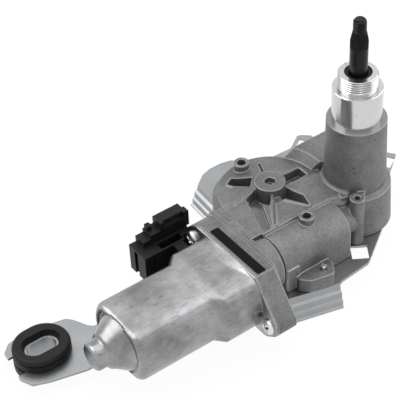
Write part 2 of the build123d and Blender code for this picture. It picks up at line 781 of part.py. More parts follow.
# Sector plate: five involute teeth round the pivot and a dog-leg arm out to the crank pin
sector_first = link_angle + 180 - (sector_teeth - 1) / 2 * 360 / sector_full_teeth
sector_outline = tooth_outline(sector_pitch_radius, sector_tip_radius, sector_root_radius,
                               sector_full_teeth, pressure_angle, linkage_backlash, sector_first,
                               sector_teeth)
with BuildPart() as sector_plate:
    with BuildSketch(Plane(origin=(pivot_x, pivot_y, plate_z))):
        with BuildLine():
            Polyline(*sector_outline, (0.0, 0.0), close=True)
        make_face()
        Circle(pivot_eye_radius)
    extrude(amount=plate_thickness)
    with BuildSketch(Plane.XY.offset(plate_z)) as arm:
        with Locations((pivot_x, pivot_y)):
            Circle(pivot_eye_radius - 2.0)
        with Locations((crank_pin_x, crank_pin_y)):
            Circle(crank_eye_radius - 1.5)
        make_hull()
        with Locations((crank_pin_x, crank_pin_y)):
            Circle(crank_eye_radius)
    extrude(amount=plate_thickness)
    with BuildSketch(Plane.XY.offset(plate_z)):
        with Locations((pivot_x, pivot_y)):
            Circle(pivot_radius + running_gap)
        with Locations((crank_pin_x, crank_pin_y)):
            Circle(crank_pin_radius + running_gap)
    extrude(amount=plate_thickness, mode=Mode.SUBTRACT)
finish(sector_plate, "sector_plate")

# Worm wheel with helical teeth, its axle, washer, clip and crank pin
wheel_pressure = math.radians(20)
wheel_backlash = 0.3
helix_angle = math.atan(worm_pitch / (2 * math.pi * worm_pitch_radius))
wheel_twist = math.degrees(wheel_thickness / 2 * math.tan(helix_angle) / wheel_pitch_radius)
wheel_outline = tooth_outline(wheel_pitch_radius, wheel_tip_radius, wheel_root_radius, wheel_teeth,
                              wheel_pressure, wheel_backlash, -90.0, wheel_teeth)
with BuildPart() as worm_wheel:
    for level, turn in ((wheel_top - wheel_thickness, -wheel_twist), (wheel_top, wheel_twist)):
        with BuildSketch(Plane(origin=(wheel_x, wheel_y, level))):
            with BuildLine():
                Polyline(*turned(wheel_outline, turn), close=True)
            make_face()
    loft(ruled=True)
    with BuildSketch(Plane(origin=(wheel_x, wheel_y, wheel_top))):
        Circle(wheel_root_radius - 3.0)
        Circle(9.5, mode=Mode.SUBTRACT)
    extrude(amount=-2.2, mode=Mode.SUBTRACT)
    with BuildSketch(Plane(origin=(wheel_x, wheel_y, wheel_top))):
        Circle(wheel_bore_radius)
    extrude(amount=-wheel_thickness, mode=Mode.SUBTRACT)
    with BuildSketch(Plane(origin=(crank_pin_x, crank_pin_y, wheel_top - wheel_thickness))):
        Circle(crank_pin_radius + tiny)
    extrude(amount=4.5, mode=Mode.SUBTRACT)
finish(worm_wheel, "worm_wheel")

with BuildPart() as wheel_axle:
    with BuildSketch(Plane(origin=(wheel_x, wheel_y, wheel_top + 7.8))):
        Circle(wheel_bore_radius - running_gap)
    extrude(amount=axle_end_z - wheel_top - 7.8)
finish(wheel_axle, "wheel_axle")

with BuildPart() as wheel_washer:
    ring(Plane(origin=(wheel_x, wheel_y, wheel_top + free_gap)), wheel_bore_radius + 4.0,
         wheel_bore_radius + running_gap, wheel_roof_gap - free_gap)
finish(wheel_washer, "wheel_washer")

with BuildPart() as axle_clip:
    ring(Plane(origin=(wheel_x, wheel_y, wheel_top - wheel_thickness - free_gap)),
         wheel_bore_radius + 1.6, wheel_bore_radius, -1.0)
finish(axle_clip, "axle_clip")

with BuildPart() as crank_pin:
    with BuildSketch(Plane(origin=(crank_pin_x, crank_pin_y, wheel_top - wheel_thickness + 4.4))):
        Circle(crank_pin_radius)
    extrude(amount=plate_z + plate_thickness + free_gap - (wheel_top - wheel_thickness + 4.4))
finish(crank_pin, "crank_pin")

# Armature: shaft with the worm cut on its end, core, windings and commutator
worm_left = wheel_x - worm_length / 2
thread_half_root = worm_pitch / 4 + (worm_pitch_radius - worm_root_radius) * math.tan(wheel_pressure)
thread_half_tip = worm_pitch / 4 - (worm_tip_radius - worm_pitch_radius) * math.tan(wheel_pressure)
thread_thinning = 0.1
thread_depth = worm_tip_radius - worm_root_radius
shaft_left = can_nose_end_x + 3.0
shaft_right = barrel_end_x - end_wall - 0.6
with BuildPart() as worm_thread:
    with BuildLine() as thread_path:
        Helix(worm_pitch, worm_length - 2 * worm_pitch, worm_root_radius, center=(0, 0, worm_pitch))
    with BuildSketch(Plane(origin=thread_path.line @ 0, x_dir=(1, 0, 0), z_dir=thread_path.line % 0)):
        with BuildLine():
            Polyline(
                (-0.3, thread_thinning - thread_half_root),
                (thread_depth, thread_thinning - thread_half_tip),
                (thread_depth, thread_half_tip - thread_thinning),
                (-0.3, thread_half_root - thread_thinning),
                close=True,
            )
        make_face()
    sweep(path=thread_path.line, is_frenet=True)
with BuildPart() as armature_shaft:
    with BuildSketch(across(shaft_left)):
        Circle(armature_shaft_radius)
    extrude(amount=shaft_right - shaft_left)
    with BuildSketch(across(worm_left)):
        Circle(worm_root_radius + tiny)
    extrude(amount=worm_length)
    add(worm_thread.part.moved(across(worm_left).location))
finish(armature_shaft, "armature_shaft")

core_left, core_right = -176.0, -142.0
core_radius = 15.8
commutator_left, commutator_right = -134.0, -123.0
commutator_radius = 7.0
with BuildPart() as lamination_core:
    ring(across(core_left), core_radius, armature_shaft_radius + tiny, core_right - core_left)
    with BuildSketch(across(core_left)):
        with PolarLocations(core_radius - 2.5, 10):
            Rectangle(6.0, 1.6)
            with Locations((-1.5, 0)):
                Rectangle(3.0, 3.4)
    extrude(amount=core_right - core_left, mode=Mode.SUBTRACT)
finish(lamination_core, "lamination_core")

with BuildPart() as armature_windings:
    for start, length in ((core_left, -5.5), (core_right, 5.5)):
        ring(across(start), core_radius - 1.6, armature_shaft_radius + 0.6, length)
finish(armature_windings, "armature_windings")

with BuildPart() as commutator:
    ring(across(commutator_left), commutator_radius, armature_shaft_radius + tiny,
         commutator_right - commutator_left)
    with BuildSketch(across(commutator_left)):
        with PolarLocations(commutator_radius, 10):
            Rectangle(1.4, 0.5)
    extrude(amount=commutator_right - commutator_left - 1.5, mode=Mode.SUBTRACT)
finish(commutator, "commutator")

# Bearings of the armature
with BuildPart() as drive_bearing:
    ring(across(flange_face_x + bearing_depth + 0.1), bearing_radius, armature_shaft_radius + running_gap,
         bearing_width)
finish(drive_bearing, "drive_bearing")

with BuildPart() as worm_end_bush:
    ring(across(barrel_end_x - end_wall), worm_bore_radius - seat_gap, armature_shaft_radius + running_gap,
         -end_bush_length)
finish(worm_end_bush, "worm_end_bush")

with BuildPart() as end_bush:
    ring(across(can_boss_end_x + can_sheet), can_nose_radius - can_sheet - seat_gap,
         armature_shaft_radius + running_gap, -end_bush_length - 1.5)
finish(end_bush, "end_bush")


# Motor can: lip, wide part, step, main part with soft edges, end cone and nose
with BuildPart() as motor_can:
    for inset, how in ((0.0, Mode.ADD), (can_sheet, Mode.SUBTRACT)):
        first_x, first_radius, first_half = can_stations[0]
        with BuildSketch(across(flange_face_x)):
            double_d(first_radius - inset, first_half - inset, can_edge_radius)
        extrude(amount=first_x - flange_face_x, mode=how)
        for near, far in zip(can_stations, can_stations[1:]):
            for station_x, radius, half_height in (near, far):
                last = inset if station_x == can_end_x else 0.0
                with BuildSketch(across(station_x + last)):
                    double_d(radius - inset, half_height - inset, can_edge_radius)
            loft(mode=how)
        with BuildSketch(across(can_end_x + inset)):
            double_d(can_cone_root[0] - inset, can_cone_root[1] - inset, can_edge_radius)
        with BuildSketch(across(can_cone_x + inset)):
            Circle(can_cone_tip_radius - inset)
        loft(mode=how)
        with BuildSketch(across(can_cone_x + inset)):
            Circle(can_boss_radius - inset)
        extrude(amount=can_boss_end_x - can_cone_x, mode=how)
        with BuildSketch(across(can_boss_end_x + inset)):
            Circle(can_nose_radius - inset)
        extrude(amount=can_nose_end_x - can_boss_end_x, mode=how)
        if how == Mode.ADD:
            chamfer(motor_can.edges().group_by(Axis.X)[0], can_sheet)
            with BuildSketch(across(flange_face_x)):
                flange_outline()
                with Locations((ear_y, ear_z), (-ear_y, -ear_z)):
                    Circle(screw_radius + seat_gap, mode=Mode.SUBTRACT)
            extrude(amount=-can_sheet)
    # ring groove round the end cone
    with BuildSketch(across(can_end_x)):
        double_d(can_cone_root[0] + 0.9, can_cone_root[1] + 0.9, can_edge_radius)
        double_d(can_cone_root[0], can_cone_root[1], can_edge_radius, Mode.SUBTRACT)
    extrude(amount=can_sheet / 2, mode=Mode.SUBTRACT)
    # window for the connector's tongue
    with BuildSketch(Plane.XZ.offset(-connector_front_y)):
        with Locations((tongue_x, tongue_z)):
            Rectangle(tongue_width + 2 * seat_gap, tongue_height + 2 * seat_gap)
    extrude(amount=connector_front_y - tongue_inner_y + 3.0, mode=Mode.SUBTRACT)
finish(motor_can, "motor_can")

for index, side in enumerate((1, -1)):
    with BuildPart() as can_screw:
        with BuildSketch(across(flange_face_x - can_sheet)):
            with Locations((side * ear_y, side * ear_z)):
                Circle(screw_head_radius)
        extrude(amount=-screw_head_height)
        chamfer(can_screw.edges().group_by(Axis.X)[0], 1.2)
        with BuildSketch(across(flange_face_x - can_sheet)):
            with Locations((side * ear_y, side * ear_z)):
                Circle(screw_radius)
        extrude(amount=flange_back_x - flange_face_x + can_sheet + 1.5)
    finish(can_screw, f"can_screw_{index + 1}")

# Magnets: two arcs inside the can
magnet_outer = can_radius - can_sheet - seat_gap
magnet_inner = core_radius + 1.2
for index, side in enumerate((1, -1)):
    with BuildPart() as magnet:
        with BuildSketch(across(core_left - 1.0)):
            Circle(magnet_outer)
            Circle(magnet_inner, mode=Mode.SUBTRACT)
            with Locations((side * can_radius / 2, 0)):
                Rectangle(can_radius, 2 * (can_half_height - can_sheet - 3.0), mode=Mode.INTERSECT)
        extrude(amount=core_right - core_left + 2.0)
    finish(magnet, f"magnet_{index + 1}")

# Brush card with its holders, brushes and springs
card_x = -117.0
card_thickness = 3.0
brush_half = 3.0
holder_wall = 1.2
with BuildPart() as brush_card:
    with BuildSketch(across(card_x)):
        double_d(can_wide_radius - can_sheet - 0.2, can_half_height - can_sheet - 0.2, can_edge_radius)
        Circle(commutator_radius + 2.0, mode=Mode.SUBTRACT)
    extrude(amount=card_thickness)
    for side in (1, -1):
        with BuildSketch(Plane.XY.offset(worm_z)):
            with Locations(((commutator_left + card_x) / 2 + 1.0, worm_y + side * (commutator_radius + 9.0))):
                Rectangle(card_x - commutator_left - 2.0, 13.0)
        extrude(amount=brush_half + holder_wall, both=True)
        with BuildSketch(Plane.XY.offset(worm_z)):
            with Locations((brush_x, worm_y + side * (commutator_radius + 9.0))):
                Rectangle(2 * brush_half + 2 * seat_gap, 14.0)
        extrude(amount=brush_half + seat_gap, both=True, mode=Mode.SUBTRACT)
finish(brush_card, "brush_card")

for index, side in enumerate((1, -1)):
    brush_start = commutator_radius + 0.1
    with BuildPart() as brush:
        with BuildSketch(Plane.XY.offset(worm_z)):
            with Locations((brush_x, worm_y + side * (brush_start + 4.0))):
                Rectangle(2 * brush_half, 8.0)
        extrude(amount=brush_half, both=True)
    finish(brush, f"brush_{index + 1}")
    with BuildPart() as brush_spring:
        with BuildSketch(Plane.XZ.offset(-(worm_y + side * (brush_start + 8.0)))):
            with Locations((brush_x, worm_z)):
                Circle(brush_half - 0.4)
                Circle(brush_half - 1.2, mode=Mode.SUBTRACT)
        extrude(amount=-side * 6.0)
    finish(brush_spring, f"brush_spring_{index + 1}")

# Connector: body with a stepped top, a tall rear block, a plug cavity towards +Z and its terminals
connector_steps = [
    (connector_left, connector_floor), (connector_left, connector_rim),
    (connector_left + 5.0, connector_rim), (connector_left + 5.0, connector_rim + 4.4),
    (connector_left + 10.4, connector_rim + 4.4), (connector_left + 10.4, connector_rim + 7.2),
    (connector_left + 18.0, connector_rim + 7.2), (connector_left + 18.0, connector_top),
    (connector_right, connector_top), (connector_right, connector_floor),
]
with BuildPart() as connector_housing:
    with BuildSketch(Plane.XZ.offset(-connector_rear_y)):
        with BuildLine():
            Polyline(*connector_steps, close=True)
        make_face()
    extrude(amount=connector_rear_y - connector_block_y)
    with BuildSketch(Plane.XY.offset(connector_floor)):
        with Locations(((connector_left + connector_right) / 2, (connector_front_y + connector_block_y) / 2)):
            Rectangle(connector_right - connector_left, connector_block_y - connector_front_y)
    extrude(amount=connector_rim - connector_floor)
    # locking knob and the end block
    with BuildSketch(Plane.XY.offset(connector_rim)):
        with Locations((connector_left + 12.8, connector_rear_y - 2.4)):
            RectangleRounded(3.6, 4.0, 1.0)
    extrude(amount=10.2)
    with BuildSketch(Plane.XY.offset(connector_rim)):
        with Locations((connector_right + 0.7, (connector_rear_y + connector_block_y) / 2 - 1.0)):
            Rectangle(3.4, 5.0)
    extrude(amount=connector_top - connector_rim - 1.6)
    # upright slots in the left end and in the front
    with BuildSketch(Plane.XY.offset(connector_floor)):
        with Locations((connector_left, connector_rear_y - 7.4)):
            Rectangle(3.0, 3.6)
        with Locations((connector_left + 4.6, connector_front_y)):
            Rectangle(6.2, 3.0)
    extrude(amount=connector_rim - connector_floor - 1.2, mode=Mode.SUBTRACT)
    # lowered front edge of the tall block
    with BuildSketch(Plane.XY.offset(connector_top)):
        with Locations(((connector_left + 18.0 + connector_right) / 2, connector_block_y)):
            Rectangle(connector_right - connector_left - 22.0, 3.0)
    extrude(amount=-4.0, mode=Mode.SUBTRACT)
    # space for the flange ear
    with BuildSketch(Plane.XY.offset(connector_floor)):
        with Locations((connector_right, connector_front_y)):
            Rectangle(2 * (connector_right - flange_face_x + can_sheet + screw_head_height + free_gap),
                      2 * (worm_y + ear_y + ear_radius + free_gap - connector_front_y))
    extrude(amount=connector_rim - connector_floor, mode=Mode.SUBTRACT)
    # plug cavity
    with BuildSketch(Plane.XY.offset(connector_rim)):
        with Locations((cavity_x, cavity_y)):
            Rectangle(cavity_width, cavity_depth_y)
    extrude(amount=-cavity_depth, mode=Mode.SUBTRACT)
    # tongue through the can's window
    with BuildSketch(Plane.XZ.offset(-tongue_inner_y)):
        with Locations((tongue_x, tongue_z)):
            Rectangle(tongue_width, tongue_height)
    extrude(amount=-(connector_front_y - tongue_inner_y))
    # blades' slots in the cavity's floor
    with BuildSketch(Plane.XY.offset(connector_rim - cavity_depth)):
        with Locations((cavity_x, cavity_y)):
            with GridLocations(terminal_pitch, 1, terminal_count, 1):
                Rectangle(terminal_width + 2 * seat_gap, terminal_thickness + 2 * seat_gap)
    extrude(amount=-terminal_root, mode=Mode.SUBTRACT)
finish(connector_housing, "connector_housing")

with BuildPart() as connector_terminals:
    with BuildSketch(Plane.XY.offset(connector_rim - cavity_depth - terminal_root + seat_gap)):
        with Locations((cavity_x, cavity_y)):
            with GridLocations(terminal_pitch, 1, terminal_count, 1):
                Rectangle(terminal_width, terminal_thickness)
    extrude(amount=terminal_root + terminal_length)
finish(connector_terminals, "connector_terminals")

# Blank strip on top of the flange
with BuildPart() as label_strip:
    with BuildSketch(Plane.XY.offset(worm_z + flange_half_height)):
        with Locations((strip_x, strip_y)):
            RectangleRounded(strip_width, strip_length, 0.8)
    extrude(amount=strip_thickness)
finish(label_strip, "label_strip")

# Gasket between the casting and the bracket plate
with BuildPart() as cover_gasket:
    with BuildSketch(Plane.XY.offset(base_z)):
        with Locations(wheel_centre):
            Circle(round_radius - 0.4)
        with BuildLine():
            Polyline(
                (-30.0, -8.0),
                (-27.0, wing_rear_y - 0.4),
                (wing_right_x - 0.6, wing_rear_y - 0.4),
                (drum_radius - 2.4, 12.0),
                (drum_radius - 2.4, -10.0),
                (-12.0, -14.0),
                close=True,
            )
        make_face()
        Circle(drum_foot_radius - 0.4)
        with Locations(wheel_centre):
            Circle(round_radius - cast_wall, mode=Mode.SUBTRACT)
        chamber_outline(Mode.SUBTRACT)
        Circle(shaft_radius + 6.0, mode=Mode.SUBTRACT)
    extrude(amount=-gasket_thickness)
finish(cover_gasket, "cover_gasket")


def foot(start, end):
    """A flange turned down from the plate's edge in three steps, each a little further out."""
    length = math.dist(start, end)
    along = ((end[0] - start[0]) / length, (end[1] - start[1]) / length, 0)
    side = Plane(origin=(start[0], start[1], plate_top), x_dir=(along[1], -along[0], 0), z_dir=along)
    back_points = [(out - sheet, max(down, sheet)) for out, down in foot_profile[1:]]
    with BuildSketch(side) as profile:
        with BuildLine() as outline:
            Polyline(*foot_profile, *reversed(back_points), (-sheet, sheet), (-sheet, 0.0), close=True)
        make_face(outline.edges())
    extrude(profile.sketch, amount=length)


# Mounting bracket: plate with ears and square holes, feet, and the arm stepped down under the motor
with BuildPart() as mounting_bracket:
    with BuildSketch(Plane.XY.offset(plate_top)):
        with BuildLine():
            Polyline(*plate_outline, close=True)
        make_face()
        for hole_x, hole_y, hole_turn in square_holes:
            with Locations(Location((hole_x, hole_y, 0), hole_turn)):
                Rectangle(square_length, square_width, mode=Mode.SUBTRACT)
        with Locations(*lug_places):
            Circle(screw_radius + 0.2, mode=Mode.SUBTRACT)
    extrude(amount=-sheet)
    for start, end in foot_edges:
        foot(start, end)
    with BuildSketch(Plane.XZ.offset(-arm_rear_y)):
        with BuildLine():
            Polyline(
                (arm_joint_x, plate_top),
                (arm_joint_x - 8.0, arm_top),
                (arm_joint_x - 12.0, arm_top),
                (arm_joint_x - 12.0, arm_top - sheet),
                (arm_joint_x - 8.6, arm_top - sheet),
                (arm_joint_x - 0.6, plate_top - sheet),
                (arm_joint_x + 2.0, plate_top - sheet),
                (arm_joint_x + 2.0, plate_top),
                close=True,
            )
        make_face()
    extrude(amount=arm_rear_y - arm_front_y)
    with BuildSketch(Plane.XY.offset(arm_top)):
        with BuildLine():
            Polyline(*arm_outline, close=True)
        make_face()
        with Locations((tail_x, tail_y)):
            SlotOverall(2 * neck_length + 2 * seat_gap, 2 * neck_half + 2 * seat_gap, mode=Mode.SUBTRACT)
        with Locations((tail_x - 15.0, tail_y)):
            Rectangle(30.0, 2 * neck_half + 2 * seat_gap, mode=Mode.SUBTRACT)
    extrude(amount=-sheet)
finish(mounting_bracket, "mounting_bracket")

# Screws that hold the bracket to the casting, put in from below
for index, (lug_x, lug_y) in enumerate(lug_places):
    with BuildPart() as bracket_screw:
        with BuildSketch(Plane(origin=(lug_x, lug_y, plate_top - sheet))):
            Circle(screw_head_radius)
        extrude(amount=-screw_head_height)
        chamfer(bracket_screw.edges().group_by(Axis.Z)[0], 1.2)
        with BuildSketch(Plane(origin=(lug_x, lug_y, plate_top - sheet))):
            Circle(screw_radius - 0.3 - seat_gap)
        extrude(amount=sheet + gasket_thickness + lug_height + 2.5)
    finish(bracket_screw, f"bracket_screw_{index + 1}")

# Rubber grommet in the arm's slot, with a recess in its top, and the oval steel sleeve inside it
with BuildPart() as grommet:
    with BuildSketch(Plane(origin=(tail_x, tail_y, foot_z))):
        SlotOverall(2 * grommet_half_length, 2 * grommet_half_width)
    extrude(amount=grommet_height)
    fillet(grommet.faces().filter_by(Axis.Z).edges(), grommet_edge_radius)
    with BuildSketch(Plane(origin=(tail_x, tail_y, foot_z + grommet_groove_z))):
        SlotOverall(2 * grommet_half_length + 2.0, 2 * grommet_half_width + 2.0)
        SlotOverall(2 * (grommet_half_length - grommet_groove_depth),
                    2 * (grommet_half_width - grommet_groove_depth), mode=Mode.SUBTRACT)
    extrude(amount=-1.0, mode=Mode.SUBTRACT)
    with BuildSketch(Plane(origin=(tail_x, tail_y, arm_top + seat_gap))):
        SlotOverall(2 * grommet_half_length + 2.0, 2 * grommet_half_width + 2.0)
        SlotOverall(2 * neck_length, 2 * neck_half, mode=Mode.SUBTRACT)
    extrude(amount=-sheet - 2 * seat_gap, mode=Mode.SUBTRACT)
    with BuildSketch(Plane(origin=(tail_x, tail_y, foot_z))):
        SlotOverall(2 * (slot_half + tube_wall + seat_gap), 2 * (slot_radius + tube_wall + seat_gap))
    extrude(amount=grommet_height, mode=Mode.SUBTRACT)
    with BuildSketch(Plane(origin=(tail_x, tail_y, foot_z + grommet_height))):
        SlotOverall(2 * (slot_half + tube_wall + 1.5), 2 * (slot_radius + tube_wall + 1.5))
    extrude(amount=-grommet_recess, taper=20, mode=Mode.SUBTRACT)
finish(grommet, "grommet")

with BuildPart() as grommet_sleeve:
    with BuildSketch(Plane(origin=(tail_x, tail_y, foot_z))):
        SlotOverall(2 * (slot_half + tube_wall), 2 * (slot_radius + tube_wall))
        SlotOverall(2 * slot_half, 2 * slot_radius, mode=Mode.SUBTRACT)
    extrude(amount=grommet_height - grommet_recess)
finish(grommet_sleeve, "grommet_sleeve")
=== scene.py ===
# %% [markdown]
# # A rear wiper motor, dressed for its picture
#
# A rear wiper motor is a small steel can bolted to a die-cast gearbox. Almost all of its look comes
# from bare metal: rough cast aluminium, bright turned aluminium, drawn steel and zinc plate, with a
# little black rubber and plastic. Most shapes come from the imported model. The shaft, the sleeve, the
# screws and the can are made again here, with threads, splines, recesses and softer corners. The rest of
# the lesson is about finishes: how each metal was made, and which marks that leaves.

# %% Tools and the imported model
import bpy
import json
import math
import numpy as np
from mathutils import Matrix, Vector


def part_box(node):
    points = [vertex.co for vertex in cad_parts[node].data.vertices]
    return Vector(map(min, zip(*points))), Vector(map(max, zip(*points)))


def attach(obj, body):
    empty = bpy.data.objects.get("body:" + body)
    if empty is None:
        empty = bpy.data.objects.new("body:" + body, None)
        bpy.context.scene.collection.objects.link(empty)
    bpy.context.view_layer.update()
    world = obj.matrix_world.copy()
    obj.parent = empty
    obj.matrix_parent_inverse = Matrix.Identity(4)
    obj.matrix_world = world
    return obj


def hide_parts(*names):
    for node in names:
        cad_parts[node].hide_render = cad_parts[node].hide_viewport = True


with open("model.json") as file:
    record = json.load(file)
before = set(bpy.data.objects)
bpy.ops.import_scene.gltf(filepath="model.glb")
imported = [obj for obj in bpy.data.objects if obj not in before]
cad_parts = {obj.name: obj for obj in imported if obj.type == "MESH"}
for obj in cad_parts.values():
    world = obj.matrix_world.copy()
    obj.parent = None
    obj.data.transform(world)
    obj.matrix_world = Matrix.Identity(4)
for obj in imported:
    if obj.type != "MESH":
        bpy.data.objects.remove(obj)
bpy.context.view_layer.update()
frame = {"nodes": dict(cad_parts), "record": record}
nodes = frame["nodes"]
mm = 0.001

# %% [markdown]
# ## The camera
#
# The picture was taken with a long lens from above and in front, at about forty degrees. A camera is
# three directions and a place. The direction back from the object to the camera comes from the two
# angles, the other two follow by cross products, and a small roll turns the pair about the first.

# %% Camera from its angles
view_azimuth = math.radians(-33.986)
view_elevation = math.radians(41.150)
view_roll = math.radians(-3.397)
camera_place = np.array([-450.85, -496.86, 498.92]) * mm
lens_mm = 127.48
sensor_mm = 36.0
nearest_seen = 0.01


def camera_matrix(azimuth, elevation, roll, place):
    """Columns are the camera's right, up and back directions and its place."""
    back = np.array([math.sin(azimuth) * math.cos(elevation),
                     -math.cos(azimuth) * math.cos(elevation),
                     math.sin(elevation)])
    right = np.array([math.cos(azimuth), math.sin(azimuth), 0.0])
    up = np.cross(back, right)
    turned_right = math.cos(roll) * right + math.sin(roll) * up
    turned_up = math.cos(roll) * up - math.sin(roll) * right
    matrix = np.eye(4)
    matrix[:3, 0] = turned_right
    matrix[:3, 1] = turned_up
    matrix[:3, 2] = back
    matrix[:3, 3] = place
    return matrix


camera_data = bpy.data.cameras.new("camera")
camera_data.lens = lens_mm
camera_data.sensor_fit = "HORIZONTAL"
camera_data.sensor_width = sensor_mm
camera_data.clip_start = nearest_seen
camera = bpy.data.objects.new("camera", camera_data)
bpy.context.scene.collection.objects.link(camera)
camera.matrix_world = Matrix(camera_matrix(view_azimuth, view_elevation, view_roll, camera_place).tolist())
bpy.context.scene.camera = camera
print("camera at", camera_place)

# %% [markdown]
# ## The room
#
# The object stands on white with hardly a shadow. The floor and the world glow for the camera, for
# reflections and through glass, but not for rays of light. So the background is white, metal shows that
# same white, and the floor keeps a faint shadow. As light, the world is a sky that runs from dark at the
# picture's left to white at its right, which gives the round forms a shaded side. The lamps are large
# and soft.

# %% Floor, world and lamps
floor_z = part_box("mounting_bracket")[0].z
floor_size = 6.0
floor_color = (0.93, 0.93, 0.93, 1)
floor_glow = 0.95
white = (1, 1, 1, 1)
sky_dark = (0.04, 0.04, 0.042, 1)
sky_lean = (0.80, -0.56, 0.18)
sky_dark_until = -0.42
sky_white_from = 0.55
sky_strength = 1.25


def new_material(name):
    """An empty node material and its output node."""
    material = bpy.data.materials.new(name)
    material.use_nodes = True
    tree = material.node_tree
    tree.nodes.clear()
    output = tree.nodes.new("ShaderNodeOutputMaterial")
    return material, tree, output


def seen_rays(tree):
    """1 for a ray of the camera, of a reflection or through glass, 0 for a ray of light."""
    path = tree.nodes.new("ShaderNodeLightPath")
    seen = path.outputs["Is Camera Ray"]
    for label in ("Is Glossy Ray", "Is Transmission Ray"):
        larger = tree.nodes.new("ShaderNodeMath")
        larger.operation = "MAXIMUM"
        tree.links.new(seen, larger.inputs[0])
        tree.links.new(path.outputs[label], larger.inputs[1])
        seen = larger.outputs[0]
    return seen


def make_floor():
    """A flat square under the object, pale, with a glow that light rays don't meet."""
    half = floor_size / 2
    corners = [(-half, -half, floor_z), (half, -half, floor_z), (half, half, floor_z), (-half, half, floor_z)]
    mesh = bpy.data.meshes.new("floor")
    mesh.from_pydata(corners, [], [(0, 1, 2, 3)])
    floor = bpy.data.objects.new("floor", mesh)
    bpy.context.scene.collection.objects.link(floor)
    material, tree, output = new_material("floor_white")
    paper = tree.nodes.new("ShaderNodeBsdfDiffuse")
    paper.inputs["Color"].default_value = floor_color
    glow = tree.nodes.new("ShaderNodeEmission")
    glow.inputs["Strength"].default_value = 1.0
    amount = tree.nodes.new("ShaderNodeMath")
    amount.operation = "MULTIPLY"
    amount.inputs[1].default_value = floor_glow
    mix = tree.nodes.new("ShaderNodeMixShader")
    tree.links.new(seen_rays(tree), amount.inputs[0])
    tree.links.new(amount.outputs[0], mix.inputs["Fac"])
    tree.links.new(paper.outputs[0], mix.inputs[1])
    tree.links.new(glow.outputs[0], mix.inputs[2])
    tree.links.new(mix.outputs[0], output.inputs["Surface"])
    mesh.materials.append(material)


def make_world():
    """White where it is seen; as light, a sky that brightens along sky_lean."""
    world = bpy.data.worlds.new("studio")
    world.use_nodes = True
    tree = world.node_tree
    tree.nodes.clear()
    output = tree.nodes.new("ShaderNodeOutputWorld")
    lit = tree.nodes.new("ShaderNodeBackground")
    seen = tree.nodes.new("ShaderNodeBackground")
    seen.inputs["Color"].default_value = white
    seen.inputs["Strength"].default_value = 1.0
    place = tree.nodes.new("ShaderNodeTexCoord")
    ramp = tree.nodes.new("ShaderNodeValToRGB")
    ramp.color_ramp.elements[0].position = 0.0
    ramp.color_ramp.elements[0].color = sky_dark
    ramp.color_ramp.elements[1].position = 1.0
    ramp.color_ramp.elements[1].color = white
    lean = tree.nodes.new("ShaderNodeVectorMath")
    lean.operation = "DOT_PRODUCT"
    lean.inputs[1].default_value = sky_lean
    tree.links.new(place.outputs["Generated"], lean.inputs[0])
    spread = tree.nodes.new("ShaderNodeMapRange")
    spread.inputs["From Min"].default_value = sky_dark_until
    spread.inputs["From Max"].default_value = sky_white_from
    tree.links.new(lean.outputs["Value"], spread.inputs["Value"])
    tree.links.new(spread.outputs["Result"], ramp.inputs["Fac"])
    tree.links.new(ramp.outputs["Color"], lit.inputs["Color"])
    lit.inputs["Strength"].default_value = sky_strength
    mix = tree.nodes.new("ShaderNodeMixShader")
    tree.links.new(seen_rays(tree), mix.inputs["Fac"])
    tree.links.new(lit.outputs[0], mix.inputs[1])
    tree.links.new(seen.outputs[0], mix.inputs[2])
    tree.links.new(mix.outputs[0], output.inputs["Surface"])
    bpy.context.scene.world = world


def make_lamp(name, place, target, size, watts):
    """A soft square lamp at a place, turned to look at the target; place and size in metres."""
    data = bpy.data.lights.new(name, "AREA")
    data.shape = "SQUARE"
    data.size = size
    data.energy = watts
    lamp = bpy.data.objects.new(name, data)
    bpy.context.scene.collection.objects.link(lamp)
    away = np.array(place, float) - np.array(target, float)
    away /= np.linalg.norm(away)
    side = np.cross([0.0, 0.0, 1.0], away)
    side /= np.linalg.norm(side)
    matrix = np.eye(4)
    matrix[:3, 0] = side
    matrix[:3, 1] = np.cross(away, side)
    matrix[:3, 2] = away
    matrix[:3, 3] = place
    lamp.matrix_world = Matrix(matrix.tolist())


make_floor()
make_world()
object_middle = (-0.09, 0.01, -0.06)
lamps = [("lamp_left_back", (-0.9, 0.6, 0.9), 1.15, 11.0),
         ("lamp_right", (1.3, -0.7, 0.5), 1.6, 12.0),
         ("lamp_top", (0.1, 0.1, 1.3), 1.4, 8.0)]
for lamp_name, lamp_place, lamp_size, lamp_watts in lamps:
    make_lamp(lamp_name, lamp_place, object_middle, lamp_size, lamp_watts)
bpy.context.scene.view_settings.view_transform = "Standard"
print("floor at", floor_z)

# %% [markdown]
# ## Turned pieces as one skin
#
# The shaft, the sleeve and the screws are turned parts, with a thread, splines or a cross recess that
# the plain solid leaves out. Each is a grid of points: one parameter runs along the profile, the other
# round the axis, and the detail is a small change of radius or height over both. The grid then becomes
# one closed skin, either a ring that meets itself in both directions or a body with a pole at each end.

# %% Skin from a grid of points
crest_flat = 0.15


def link_skin(name, vertices, faces, crease_degrees):
    """A mesh object of the given points and faces, smooth except across sharp edges."""
    mesh = bpy.data.meshes.new(name)
    mesh.from_pydata(vertices.tolist(), [], faces)
    mesh.shade_smooth()
    mesh.set_sharp_from_angle(angle=math.radians(crease_degrees))
    piece = bpy.data.objects.new(name, mesh)
    bpy.context.scene.collection.objects.link(piece)
    return piece


def grid_quads(rows, columns, close_rows):
    """Quads over a rows x columns grid that closes round its columns, and round its rows if asked."""
    last = rows if close_rows else rows - 1
    row = np.arange(last)[:, None] * columns
    above = (np.arange(1, last + 1) % rows)[:, None] * columns
    column = np.arange(columns)[None, :]
    following = (column + 1) % columns
    return np.stack([row + column, row + following, above + following, above + column], -1).reshape(-1, 4)


